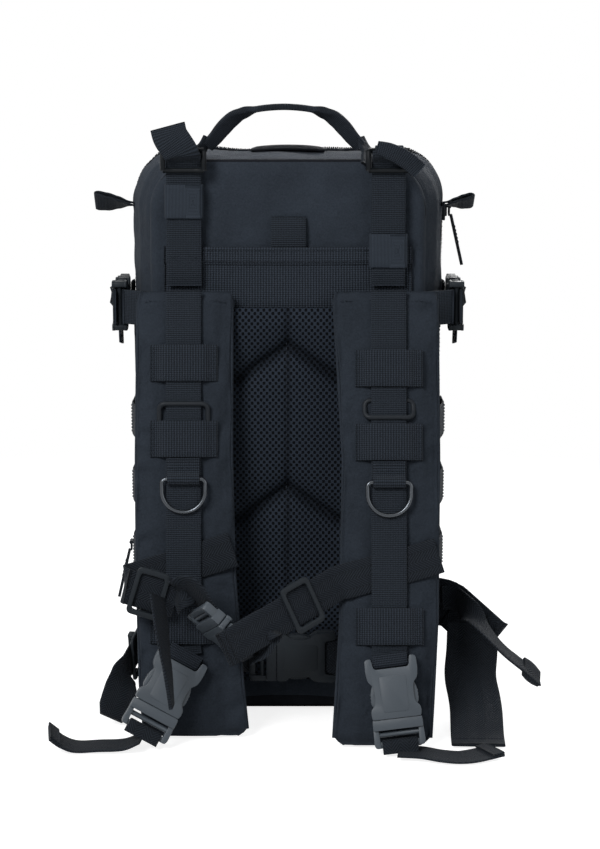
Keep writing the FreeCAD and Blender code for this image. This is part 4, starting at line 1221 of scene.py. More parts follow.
# Two face plates with scalloped sides, side walls, horns at the webbing end and the webbing bar.
def receiverShape(length):
    shape = Shape()
    k = length / 40.0
    w = buckle["half"]
    face = curve([(-w - 0.6, -2.0, 2.4), (-w + 3.9, -2.6, 1.6), (-w + 5.2, 5.2, 2.2), (w - 5.2, 5.2, 2.2),
                  (w - 3.9, -2.6, 1.6),
                  (w + 0.6, -2.0, 2.4), (w + 0.9, 7 * k, 3), (w - 0.1, 13.2 * k, 2.0), (w - 3.4, 16.8 * k,
                          3.0),
                  (w - 4.0, 23.5 * k, 4.0), (w - 3.4, 30.0 * k, 3.0), (w - 0.1, 33.2 * k, 2.0), (w, 37.5 * k,
                          2), (w - 0.6, length, 1.2),
                  (-w + 0.6, length, 1.2), (-w, 37.5 * k, 2), (-w + 0.1, 33.2 * k, 2.0), (-w + 3.4, 30.0 * k,
                          3.0),
                  (-w + 4.0, 23.5 * k, 4.0), (-w + 3.4, 16.8 * k, 3.0), (-w + 0.1, 13.2 * k, 2.0), (-w - 0.9,
                          7 * k, 3)], 6)
    t = buckle["thick"]
    shape.plate(face, t - 2.0, t)
    shape.plate(face, -t, -t + 2.0)
    for side in (-1, 1):
        horn = curve([(side * (w + 0.4), -2.0, 2), (side * (w - 3.8), -2.4, 1.6), (side * (w - 4.4), 6, 0),
                      (side * (w - 3.4), 12 * k, 2),
                      (side * (w - 0.3), 12 * k, 2), (side * (w + 0.6), 6, 3)], 6)
        shape.plate(horn if side > 0 else horn[::-1], -t + 1.9, t - 1.9)
        foot = curve([(side * (w - 2.4), 33.6 * k, 1), (side * (w - 0.3), 33.4 * k, 1),
                      (side * (w - 0.2), length - 0.2, 1),
                      (side * (w - 2.4), length - 0.2, 0)], 4)
        shape.plate(foot if side > 0 else foot[::-1], -t + 1.9, t - 1.9)
    raised = curve([(-9.6, 10.5 * k, 2.4), (9.6, 10.5 * k, 2.4), (9.0, length - 4.5, 2.4),
            (-9.0, length - 4.5, 2.4)], 6)
    shape.plate(raised, t - 0.1, t + 0.35)
    shape.tube([Vector((x, 0, 1.8)) for x in (-w + 2.5, 0, w - 2.5)], 1.8, 14)
    return shape


# The base with its two bowed prongs, centre tongue and the two-bar frame for the webbing.
def plugShape(receiver, length, prongs):
    shape = Shape()
    w = buckle["half"]
    start, end = receiver + 0.3, receiver + length
    k = prongs / 27.0
    baseBlock = curve([(-w + 0.2, start, 1.0), (w - 0.2, start, 1.0), (w + 0.1, start + 3, 1.5),
            (w, start + 7.4, 1.0), (-w, start + 7.4, 1.0),
                       (-w - 0.1, start + 3, 1.5)], 4)
    shape.plate(baseBlock, -4.6, 4.6)
    for side in (-1, 1):
        rail = curve([(side * (w - 3.4), start + 6.5, 0), (side * w, start + 6.5, 0),
                      (side * (w + 0.5), end - 2, 2.5), (side * (w - 0.6), end + 0.6, 2),
                      (side * (w - 4.0), end + 0.6, 1)], 5)
        shape.plate(rail if side > 0 else rail[::-1], -3.2, 3.2)
        prong = curve([(side * 8.6, start + 1, 0), (side * 14.6, start + 1, 1),
                (side * 14.3, start - 8 * k, 3), (side * 16.6, start - 10.5 * k, 2.5),
                       (side * 16.5, start - 20 * k, 4), (side * 13.6, start - 26.5 * k, 3), (side * 10.4,
                               start - 26.8 * k, 2),
                       (side * 12.0, start - 16 * k, 4)], 6)
        shape.plate(prong if side > 0 else prong[::-1], -3.0, 3.0)
        for i in range(3):
            z = start - (12.5 + 2.4 * i) * k
            shape.plate([(side * 16.2, z), (side * 16.9, z), (side * 16.9, z - 1.0),
                         (side * 16.2, z - 1.0)][::side], -2.6, 2.6)
    tongue = curve([(-2.6, start + 1, 0), (2.6, start + 1, 0), (2.2, start - 22 * k, 2),
            (-2.2, start - 22 * k, 2)], 5)
    shape.plate(tongue, -1.6, 1.6)
    shape.tube([Vector((x, 0, start + 10.5)) for x in (-w + 2.0, 0, w - 2.0)], 1.8, 14)
    bar = curve([(-w + 1.0, end - 3.6, 1), (w - 1.0, end - 3.6, 1), (w - 1.0, end + 0.6, 1),
                 (-w + 1.0, end + 0.6, 1)], 4)
    shape.plate(bar, -2.1, 2.1)
    return shape


# A rounded frame with a middle bar that lies under the webbing.
def triglideShape():
    shape = Shape()
    w, half = 17.4, 12.0
    outer = curve([(-w, -half, 4.5), (w, -half, 4.5), (w, half, 4.5), (-w, half, 4.5)], 8)
    inner = curve([(-w + 4.0, -half + 3.3, 2.5), (w - 4.0, -half + 3.3, 2.5), (w - 4.0, half - 3.3, 2.5),
            (-w + 4.0, half - 3.3, 2.5)], 8)
    shape.plate(outer, 1.1, 3.4, holes=(inner,))
    for side in (-1, 1):
        post = curve([(side * (w - 3.9), -3.2, 1), (side * (w - 0.3), -3.2, 1), (side * (w - 0.3), 3.2, 1),
                      (side * (w - 3.9), 3.2, 1)], 4)
        shape.plate(post if side > 0 else post[::-1], -3.2, 1.6)
    shape.plate(curve([(-w + 0.6, -2.3, 1), (w - 0.6, -2.3, 1), (w - 0.6, 2.3, 1), (-w + 0.6, 2.3, 1)], 4),
                -3.3, -1.2)
    return shape


def putDown(shape, matrix, name, bodyName, replaced, material=None, bevel=0.65, slotName="buckle"):
    placed = Shape()
    placed.placed(matrix, shape)
    return placed.build(name, material or plastic, bodyName, slotName, replaced, bevel=bevel, smoothAngle=38)


wrapRadius = 2.95
waist = {"origin": point(32.0, 30.0, 52.0), "height": 52.0}
chest = {"receiver": 28.0, "plug": 16.5, "prongs": 17.0, "bar": point(-30.0, 85.0, 72.0),
         "along": Vector((-0.74, 0.02, 0.66)).normalized(), "outward": Vector((0.0, -0.45, -0.9)),
         "fold": point(-43.0, 110.0, 80.0), "leftMid": point(-98.0, 71.0,
                 110.0), "leftWay": Vector((0.956, 0.0, -0.292))}


def sideOrigin(side):
    return Vector((side * (116.0 + 0.3 + 5.5 + 1.2), -55.0, 302.0))


def buildBuckles():
    for h in harnesses:
        matrix = facing(h.receiverAt, h.direction, -yAxis)
        putDown(receiverShape(40.0), matrix, "strap receiver " + h.name, h.bodyName,
                ["strap_buckle_receiver_" + h.name])
        putDown(plugShape(40.0, 19.5, 27.0), matrix, "strap plug " + h.name, h.name + "_adjuster",
                ["strap_buckle_plug_" + h.name])
    # The waist and side buckles take the darker copy of the plastic, painted shade.
    matrix = facing(waist["origin"], -xAxis, -yAxis)
    putDown(receiverShape(40.0), matrix, "waist receiver", "pack", ["waist_buckle_receiver"], shadedPlastic)
    putDown(plugShape(40.0, 19.5, 27.0), matrix, "waist plug", "waist_plug", ["waist_buckle_plug"],
            shadedPlastic)
    matrix = facing(chest["bar"], chest["along"], chest["outward"])
    putDown(receiverShape(28.0), matrix, "sternum receiver", "right_strap", ["sternum_buckle_receiver"])
    putDown(plugShape(28.0, 16.5, 17.0), matrix, "sternum plug", "sternum_plug", ["sternum_buckle_plug"])
    for side, label in ((-1, "left"), (1, "right")):
        matrix = facing(sideOrigin(side), yAxis, xAxis * side)
        putDown(receiverShape(40.0), matrix, "side receiver " + label, "pack",
                ["side_buckle_receiver_" + label], shadedPlastic)
        putDown(plugShape(40.0, 19.5, 27.0), matrix, "side plug " + label, "side_plug_" + label,
                ["side_buckle_plug_" + label], shadedPlastic)


buildBuckles()
print("buckles made")


# Sternum strap
def chestAcross(angle, lean=0.0):
    rise = math.cos(math.radians(angle))
    return Vector((-math.sin(math.radians(angle)), rise * lean, rise))


def padLean(h, z):
    down = slopeAt(h.line, z)
    return down.y / down.z


def padFront(h, x, z, extra=0.3):
    return point(h.centre + x, outAt(h.line, z) + 5.5 + 0.3 + 0.8 + extra, z)


def triglideOn(start, end, share, across, name, bodyName, replaced):
    along = end - start
    outward = along.cross(across)
    if outward.y > 0:
        outward = -outward
    # The adjuster takes the darker copy of the plastic, painted shade.
    return putDown(triglideShape(), facing(start.lerp(end, share), along, outward), name, bodyName, replaced,
            shadedPlastic, 0.7)


def buildSternum():
    left, right = harnesses
    edge = padFront(right, -36.5, 115.0)
    way = chestAcross(24)
    lean = padLean(right, 124.0)
    start = padFront(right, 34.5, 134.0)
    half = Shape()
    fold = chest["fold"]
    half.ribbon([padFront(right, 35.4, 134.4), padFront(right, 20, 129.8), edge.lerp(start, 0.12), edge,
                 edge.lerp(fold, 0.12), edge.lerp(fold, 0.6), fold],
                [chestAcross(16, lean), chestAcross(17, lean), chestAcross(20, lean), way, way, way,
                 way], step=2.2)
    nearBar = chest["bar"] - chest["along"] * 6
    barAcross = chest["along"].cross(chest["outward"]).normalized()
    fromRun = edge.lerp(fold, 0.64) + yAxis * 1.7
    half.ribbon([fold + Vector((3, 1.7, 2)), fromRun, (fromRun + nearBar) * 0.5 + xAxis * 2, nearBar],
                [chestAcross(25), chestAcross(25), (chestAcross(25) - barAcross).normalized(),
                 -barAcross], 24.0, step=2.0)
    wrapOn(half, facing(chest["bar"], chest["along"], chest["outward"]), 7)
    half.tube([fold + way * (12.2 * s) + Vector((-0.6, 0.9, -0.4)) for s in (-1, -0.5, 0, 0.5, 1)], 1.5, 10)
    half.build("sternum webbing right", twill, "right_strap", "webbing", ["sternum_webbing_right"])
    triglideOn(edge, fold, 0.33, way, "sternum adjuster right", "right_triglide", ["sternum_triglide_right"])
    middle, go = chest["leftMid"], chest["leftWay"]
    across = chestAcross(-17)
    begin = padFront(left, 33.5, 136.0)
    outer = padFront(left, -36.0, 115.0, 0.8)
    flat = chestAcross(16.5, padLean(left, 126.0))
    frontEdge = middle - go * 15.5
    other = Shape()
    other.ribbon([begin + Vector((1.5, 0.3, 0.5)), padFront(left, 15, 130.2), padFront(left, -16.5, 120.5),
                  outer], flat, step=2.2)
    other.ribbon([outer, outer + Vector((-2.6, -3.0, 0)), (outer + frontEdge) * 0.5 - xAxis * 3.4,
                  frontEdge + Vector((-1.4, 2.4, 0)), frontEdge],
                 [flat, flat, (flat + across).normalized(), across, across], step=1.5)
    other.ribbon([frontEdge, middle - go * 3.4, middle, middle + go * 3.4, middle + go * 20], across,
                 step=1.5)
    normal = chest["outward"] - chest["along"] * chest["outward"].dot(chest["along"])
    normal.normalize()
    tip = chest["bar"] + chest["along"] * (28.0 + 0.3 + 16.5)
    beside = tip - normal * 5.8
    plugAcross = chest["along"].cross(normal)
    other.ribbon([middle + go * 19, beside + chest["along"] * 14 - normal * 2, beside - chest["along"] * 9],
                 [across, (across + plugAcross * 2).normalized(), plugAcross], 24.0, step=1.5)
    tail = rounded([point(-91.0, 85.7, 112.0), point(-86.0, 102.0, 82.0), point(-82.5, 105.0, 60.0),
            point(-80.5, 106.0, 38.0)], 20.0)
    other.ribbon(tail, [Vector((0.25, 0.97, 0)).lerp(Vector((0.05, 1.0, 0.0)), i / (len(tail) - 1))
            for i in range(len(tail))],
                 step=2.0, thicks=[1.0, 1.0, 1.0, 1.2, 1.7, 1.7], widths=[1, 1, 0.98, 0.92, 0.6])
    other.build("sternum webbing left", twill, "left_strap", "webbing", ["sternum_webbing_left"])
    triglideOn(middle - go, middle + go, 0.5, across, "sternum adjuster left", "left_triglide",
               ["sternum_triglide_left"])


buildSternum()


# Waist strap
def waistRoot(side, z):
    return point(side * (96.9 + 1.2), -14.0, z)


# Forward along the body's side, then out and down to the floor, with its width directions.
def leftWing():
    spots = [point(-sectionAt(-75 + deep)[1] - 1.5, -deep, z) for deep, z in ((48, 48), (35, 45))]
    bend = point(-119, 4, 37)
    spots += [spots[1].lerp(bend, share) for share in (0.18, 0.85)] + [bend, point(-121, 12, 31),
            point(-123.5, 21, 21), point(-128, 34, 9)]
    flat = Vector((-0.85, 0, 0.53))
    return spots, [zAxis, zAxis, zAxis, zAxis, zAxis, zAxis * 0.7 + flat * 0.6, flat, flat]


def buildWaist():
    z = waist["height"]
    origin = waist["origin"]
    right = [waistRoot(1, z + 6), point(106.0, 6.5, z + 6), point(76.0, 18.0, z + 2),
             origin + xAxis * 3 + yAxis * wrapRadius]
    tip = origin - xAxis * 59.8
    left = [waistRoot(-1, z + 2), point(-106.0, 6.5, z + 2), point(-76.0, 15.0, z),
            tip + Vector((-22, wrapRadius + 4.9, 0))]
    shape = Shape()
    shape.ribbon(rounded(right, 4.0), zAxis, step=2.2, sharp=True)
    wrapOn(shape, facing(origin, -xAxis, -yAxis), 9)
    shape.ribbon(rounded(left, 4.0), zAxis, step=2.2, sharp=True)
    last = left[-1]
    shape.ribbon([last, last + Vector((12, -1.5, 0)), tip + Vector((-2, 2.2, 0)),
                  tip + Vector((4.5, 2.9, 0))], zAxis, step=1.6)
    shape.build("waist webbing", twill, "pack", "webbing", ["waist_webbing"])
    glides = Shape()
    wing = leftWing()[0]
    for a, b, share in ((right[1], right[2], 0.41), (wing[2], wing[3], 0.5)):
        outward = (b - a).cross(zAxis)
        if outward.y > 0:
            outward = -outward
        glides.placed(facing(a.lerp(b, share), b - a, outward), triglideShape())
    # The adjusters take the darker copy of the plastic, painted shade.
    glides.build("waist adjusters", shadedPlastic, "pack", "buckle", ["waist_triglides"], bevel=0.7,
                 smoothAngle=38)


buildWaist()


# Lower wings and adjuster webbing
wings = {"width": 37.0, "hemWidth": 36.6, "dropWidth": 38.0, "tailWidth": 18.0, "bend": 10.0,
         "dropBend": 16.0}


def buildWings():
    shape = Shape()
    x0 = sectionAt(-41)[1] + 2.5
    out = rounded([point(x0, -34, 76), point(x0 + 9, -28.6, 75.7), point(152, -13, 51)], wings["bend"])
    shape.ribbon(out, zAxis, wings["width"], step=2.5)
    way = (out[-1] - out[-2]).normalized()
    end = out[-1]
    shape.ribbon([end - way * 6 + yAxis * 0.4, end + way * 1.2 - yAxis * 0.2, end + way * 1.6 - yAxis * 2.2,
                  end - way * 5 - yAxis * 3.4,
                  end - way * 14 - yAxis * 4.0], zAxis, wings["hemWidth"], step=1.2)
    drop = rounded([point(138, -15, 64), point(136.5, 0, 46), point(133.5, 16, 33), point(136.5, 38, 18),
            point(135, 68, 4.4), point(134.5, 84, 2.4)], wings["dropBend"])
    shape.ribbon(drop, xAxis, wings["dropWidth"], step=2.5)
    spots, across = leftWing()
    shape.ribbon(spots + [spots[-1] + (spots[-1] - spots[-2]).normalized() * 3], across + [across[-1]],
                 step=2.0,
                 widths=[1.0] * 11 + [0.97, 0.72], thicks=[1.0] * 11 + [1.4, 1.4])
    flat, edgeOn = Vector((0.1, 0.05, 1)), Vector((0.12, 0.98, 0.15))
    tail = [point(x0 + 4, -29.2, 80), point(x0 + 15, -22.6, 80), point(140, 7, 71), point(157, 18, 54),
            point(172, 16, 41), point(185, 12, 29)]
    shape.ribbon(tail, [zAxis, flat, flat * 0.15 + edgeOn, edgeOn, edgeOn, edgeOn], wings["tailWidth"],
                 step=2.0)
    fat = tail[4] * 0.92 + tail[5] * 0.08
    shape.ribbon([fat, fat.lerp(tail[5], 0.3), fat.lerp(tail[5], 0.75), tail[5]],
                 edgeOn + Vector((0.25, 0, 0.1)), 18.6, 3.6, step=1.5,
                 thicks=[0.75, 1.15, 1.1, 0.9], widths=[1.0, 1.05, 1.0, 0.8])
    shape.build("corner webbing", twill, "pack", "webbing", ["corner_wings"])
    hem = Shape()
    hem.stitches([point(117 + 35 * i / 14, 80.0, 3.9) for i in range(15)], zAxis, 2.7, 2.0, 0.34)
    hem.ribbon([point(134.6, 75, 4.2), point(134.5, 85.2, 3.6)], xAxis, 37.0, 1.6)
    hem.build("wing hem", twill, "pack", "webbing")
    for h in harnesses:
        tip = h.receiverAt + h.direction * 59.8
        low = 0.6 + 0.8 + 0.4
        t = tip + h.direction * 3
        if h.name == "right":
            spots = [Vector((t.x - 2, t.y - 1, t.z - 0.4)), Vector((t.x + 14, t.y - 3, low + 1.4)),
                     Vector((t.x + 28, t.y - 7, low + 0.3)),
                     Vector((t.x + 42, t.y - 9, low)), Vector((t.x + 56, t.y - 3,
                             low + 0.2)), Vector((t.x + 66, t.y + 2, low + 1.2))]
        else:
            spots = [Vector((t.x + 1, t.y, t.z - 0.5)), Vector((t.x - 12, t.y + 2, low + 1.5)),
                     Vector((t.x - 30, t.y + 2.6, low + 0.3)),
                     Vector((t.x - 46, t.y + 2, low)), Vector((t.x - 56, t.y, low + 4.5)), Vector((t.x - 64,
                             t.y - 2, low + 12))]
        tail = Shape()
        tail.ribbon(spots, yAxis, step=2.0, thicks=[1, 1, 1, 1, 1, 1, 1.9])
        tail.ribbon([spots[-1] + (spots[-2] - spots[-1]).normalized() * 9 + Vector((0, 0, 1.9)),
                     spots[-1] + Vector((0, 0, 1.7))], yAxis, 24.6, 1.6)
        wrapOn(tail, facing(tip, -h.direction, -yAxis), 6.5)
        tail.build("adjuster webbing " + h.name, twill, h.name + "_adjuster", "webbing",
                   ["adjuster_webbing_" + h.name])


buildWings()
print("lower webbing made")


# Load lifters: webbing up the back panel, elastic keepers, ladder locks and their anchors
lifter = {"out": 0.6 + 5.0 + 0.9 + 0.35 + 0.8, "foot": 402.0, "pitch": 14.0, "lockHalf": 14.5,
          "leftKeeper": 380.0, "rightKeeper": 345.0}
lifter["lock"] = lifter["out"] + 0.8 + 0.3 + 1.8


def buildLifters():
    shape, trim, anchors = Shape(), Shape(), Shape()
    for h in harnesses:
        x = h.centre
        low, high = lifter["foot"], lifter["foot"] + lifter["pitch"]
        front = lifter["lock"] + 6.2
        rise = [point(x, lifter["out"] - 0.6, pad["top"] + 4), point(x, lifter["out"] + 0.4, 330),
                point(x, lifter["out"] - 0.3, 350),
                point(x, lifter["out"], 380), point(x, lifter["out"], low - 1), point(x, lifter["out"] + 1.2,
                        low + 4)]
        if h.name == "left":
            tail = [point(x, lifter["out"] + 3.5, low + 7.5), point(x - 0.5, front, low + 11),
                    point(x - 4, front + 1.2, low + 17),
                    point(x - 8.6, front + 0.6, low + 24), point(x - 10.6, front - 1.4, low + 31)]
            turnOut = [xAxis] * 8 + [Vector((0.98, -0.10, 0.05)), Vector((0.97, -0.1, 0.04)),
                    Vector((0.98, -0.1, 0.08))]
            shape.ribbon(rise + tail, turnOut, step=1.8)
        else:
            tail = [point(x, lifter["out"] + 3.5, low + 7.5), point(x, front - 0.5, low + 10.5),
                    point(x, front, low + 14.5)]
            shape.ribbon(rise + tail, xAxis, 24.0, step=1.8)
            fall = [point(x - 9, front + 0.4, low + 16.5), point(x - 2, front + 2.0, low + 14.5),
                    point(x + 6, front + 3.4, low + 11.0),
                    point(x + 14, front + 3.0, low + 6.0), point(x + 21, front + 1.2, low + 0.0)]
            lay = [Vector((0.42, -0.1, 0.9)), Vector((0.46, -0.2, 0.86)), Vector((0.5, -0.34, 0.8)),
                   Vector((0.56, -0.3, 0.78)), Vector((0.64, -0.1, 0.76))]
            shape.ribbon(fall, lay, 13.0, step=1.8, widths=[0.7, 0.9, 1.0, 1.0, 0.95])
        boxStitch(trim, point(x, lifter["out"] + 0.9, 338 if h.name == "right" else 334), zAxis, xAxis, 14,
                  18, -yAxis)
        lock = Shape()
        for z in (low, high):
            lock.tube([point(x + lifter["lockHalf"] * s, lifter["lock"], z) for s in (-1, -0.5, 0, 0.5, 1)],
                      1.85, 14)
        for side in (-1, 1):
            path = [point(x + side * lifter["lockHalf"], lifter["lock"] + 1.4 * math.sin(math.pi * i / 10),
                          low + (high - low) * i / 10) for i in range(11)]
            lock.tube(path, 1.9, 12)
        lock.build("ladder lock " + h.name, glossPlastic, h.name + "_lock", "buckle",
                   ["ladder_lock_" + h.name])
        upper = point(x, lifter["lock"], high)
        top = 406.0
        path = [Vector((x, -63, top + 3.0 + 1.4)), Vector((x, -76, top + 1.4)),
                Vector((x, upper.y + 3.55, upper.z - 6))]
        for i in range(9):
            a = math.pi * i / 8 * 0.95
            path.append(Vector((x, upper.y + wrapRadius * math.cos(a), upper.z + wrapRadius * math.sin(a))))
        anchors.ribbon(path, xAxis, 20.0, 1.6, step=1.2)
        keepHeight = lifter["leftKeeper"] if h.name == "left" else lifter["rightKeeper"]
        sleeve = Shape()
        w, t, r = 13.4, 2.0, 1.6
        around = []
        for cx, cy, begin in ((w - r, t - r + 0.2, 0), (-w + r, t - r + 0.2, 90), (-w + r, -t + r - 0.2, 180),
                (w - r, -t + r - 0.2, 270)):
            for i in range(5):
                a = math.radians(begin + 22.5 * i)
                around.append((cx + r * math.cos(a), cy + r * math.sin(a)))
        path = [point(x + a, lifter["out"] - b, keepHeight) for a, b in around]
        sleeve.ribbon(resample(path + [path[0]], 2.0, False), zAxis, 24.0, 0.9, step=2.0, sharp=True)
        seam = 6.5
        sleeve.ribbon([point(x + seam, lifter["out"] + 2.3, keepHeight - 11.8),
                point(x + seam, lifter["out"] + 2.3, keepHeight + 11.8)],
                      xAxis, 11.0, 0.7)
        sleeve.build("lifter keeper " + h.name, elastic, h.name + "_keeper", "buckle",
                     ["lifter_keeper_" + h.name])
    shape.build("lifter webbing", strap, "pack", "webbing", ["lifter_webbing"])
    trim.build("lifter stitching", strap, "pack", "webbing")
    anchors.build("lock anchors", strap, "pack", "webbing", ["lock_anchors"])


buildLifters()


# Grab handle, hose port, side loops
handle = {"depth": -65.0, "centre": -3.0, "half": 49.0, "foot": 423.0, "top": 446.0, "width": 20.0,
          "thick": 4.6,
          "endHalf": 55.0}
ears = {"root": 116.9, "depth": -17, "height": 378, "width": 18.0, "leftReach": 24.0, "rightReach": 18.5,
        "leftTwist": 0.78, "rightTwist": 0.5}


def buildTop():
    grip = Shape()
    y = handle["depth"]
    rise = handle["top"] - handle["foot"]
    spots = ((-1.12, -0.22), (-1.0, 0.04), (-0.9, 0.30), (-0.76, 0.60), (-0.6, 0.80), (-0.36, 0.94),
             (0.0, 1.0))
    spots += tuple((-x, z) for x, z in reversed(spots[:-1]))
    path = [Vector((handle["centre"] + x * handle["half"], y, handle["foot"] + z * rise)) for x, z in spots]
    across = []
    for x, _ in spots:
        bend = min(1.0, max(0.0, (abs(x) - 0.42) / 0.38))
        across.append(Vector((-math.copysign(0.62, x) * bend, 1.0 - 0.45 * bend, -0.62 * bend)))
    grip.ribbon(path, across, handle["width"], handle["thick"], step=1.6,
                widths=[0.5, 0.56, 0.62, 0.6, 0.58, 0.66, 0.7, 0.7, 0.7, 0.66, 0.58, 0.6, 0.62, 0.56, 0.5],
                thicks=[0.6, 0.7, 0.75, 0.85, 1.1, 1.0, 1.0, 1.0, 1.0, 1.0, 1.1, 0.85, 0.75, 0.7, 0.6])
    grip.build("grab handle", binding, "handle", "handle", ["grab_handle"])
    ends = Shape()
    for side in (-1, 1):
        x = handle["centre"] + side * handle["endHalf"]
        ends.ribbon([Vector((x - side * 0.5, y, 424.6)), Vector((x + side * 2.0, y - 1.0, 419)),
                     Vector((x + side * 5.5, y - 3.2, 413)),
                     Vector((x + side * 7.0, y - 7.4, 407.6)), Vector((x + side * 7.4, y - 11.4,
                             403.0))], yAxis.lerp(xAxis, 0.42), 21.0, 2.4, step=1.4,
                    widths=[0.42, 0.5, 0.68, 0.9, 1.0])
    for side, reach, twist in ((-1, ears["leftReach"], ears["leftTwist"]),
            (1, ears["rightReach"], ears["rightTwist"])):
        middle = [Vector((side * (ears["root"] + reach * share), ears["depth"], ears["height"] + rise))
                  for share, rise in ((-0.16, -4.4), (0.0, -4.0), (0.35, -3.2), (0.7, -2.6), (1.0, -1.8))]
        across = [yAxis, yAxis - zAxis * twist * 0.15, yAxis - zAxis * twist * 0.6, yAxis - zAxis * twist,
                  yAxis - zAxis * twist * 1.3]
        there, back = [], []
        for i, (p, way) in enumerate(zip(middle, across)):
            normal = xAxis.cross(way.normalized()) * side
            gap = (0.9, 1.0, 1.3, 1.7, 1.3)[i]
            there.append(p + normal * gap)
            back.append(p - normal * gap)
        path = there + [middle[-1] + xAxis * side * 2.0] + back[::-1]
        ends.ribbon(path, across + [across[-1]] + across[::-1], ears["width"], 1.5, step=1.2,
                    widths=[0.62, 0.85, 1.0, 1.0, 1.0, 1.0, 1.0, 0.85, 0.62])
    ends.build("sewn loops", binding, "pack", "webbing", ["sewn_loops"])
    port = Shape()
    rows = []
    for i in range(15):
        share = i / 14
        x = -27 + 54 * share
        arch = math.sin(math.pi * share)
        row = []
        for k in range(9):
            v = -1 + 2 * k / 8
            row.append(Vector((x, -13 + 9.5 * v, 413.2 + (1.4 + 2.6 * arch ** 0.5) * (1 - abs(v) ** 3))))
        rows.append(row)
    port.grid(rows, None)
    port.grid([[p + Vector((0, 0, -p.z + 412.6)) for p in reversed(r)] for r in rows], None)
    port.tube([Vector((-27 + 54 * i / 14, -22.4, 413.2 + 1.2 * math.sin(math.pi * i / 14)))
               for i in range(15)], 1.1, 8)
    port.tube([Vector((-27 + 54 * i / 14, -3.6, 413.2 + 1.2 * math.sin(math.pi * i / 14)))
               for i in range(15)], 1.1, 8)
    port.build("hose port", darkFabric, "pack", "shell_fabric", ["hose_port"])


buildTop()


# Side compression webbing
def halfWidthAt(y):
    return sectionAt(y)[1]


def buildSides():
    shape, trim = Shape(), Shape()
    for side in (-1, 1):
        origin = sideOrigin(side)
        y0 = -72.0
        start = Vector((side * (halfWidthAt(y0) + 1.2), y0, 302.0))
        shape.ribbon([start,
                      start.lerp(origin - yAxis * 3 - xAxis * side * wrapRadius, 0.5) + xAxis * side * 1.5,
                      origin - yAxis * 3 - xAxis * side * wrapRadius], zAxis, step=2.0)
        wrapOn(shape, facing(origin, yAxis, xAxis * side), 7)
        x = side * (116.0 + 0.3 + 0.8)
        y1 = 25 - 8 - 2
        shape.ribbon([Vector((x, y1 - 24, 302)), Vector((x + side * 0.8, y1 - 12, 302)),
                      Vector((x, y1, 302))], zAxis, step=2.0)
        for z in (110.0, 161.0, 212.0):
            ys = [-68, -60, -47, -30, -13, 2, 15]
            shape.ribbon([Vector((side * (halfWidthAt(y) + 1.9), y, z)) for y in ys], zAxis, step=2.2)
            for y in (-66, -47, -13, 13):
                trim.stitches([Vector((side * (halfWidthAt(y) + 2.9), y, z - 11 + 22 * i / 8))
                        for i in range(9)], xAxis * side, 2.4, 1.8, 0.34)
    shape.build("side webbing", strap, "pack", "webbing", ["side_webbing"])
    trim.build("side stitching", strap, "pack", "webbing")
    for side, label in ((-1, "left"), (1, "right")):
        tip = sideOrigin(side) + yAxis * 59.8
        tail = Shape()
        tail.ribbon([tip + Vector((side * -2.4, -3.0, 0)), tip + Vector((side * 1.5, 2.2, 0)),
                     tip + Vector((side * 2.6, 0.8, -3)),
                     tip + Vector((side * 3.4, -6, -18)), tip + Vector((side * 3.0, -9, -34))],
                    [zAxis, zAxis, Vector((0, 0.5, 0.86)), Vector((0, 0.93, 0.3)),
                     Vector((0, 0.97, 0.2))], step=1.5)
        wrapOn(tail, facing(tip - yAxis * 0.1, -yAxis, xAxis * side), 5)
        tail.build("side tail " + label, strap, "side_plug_" + label, "webbing")


buildSides()
print("top, lifters and sides made")


# Front pocket, lid and attachment rows
pocket = {"half": 86.0, "low": 92.0, "high": 318.0, "depth": 38.0, "radius": 16.0}


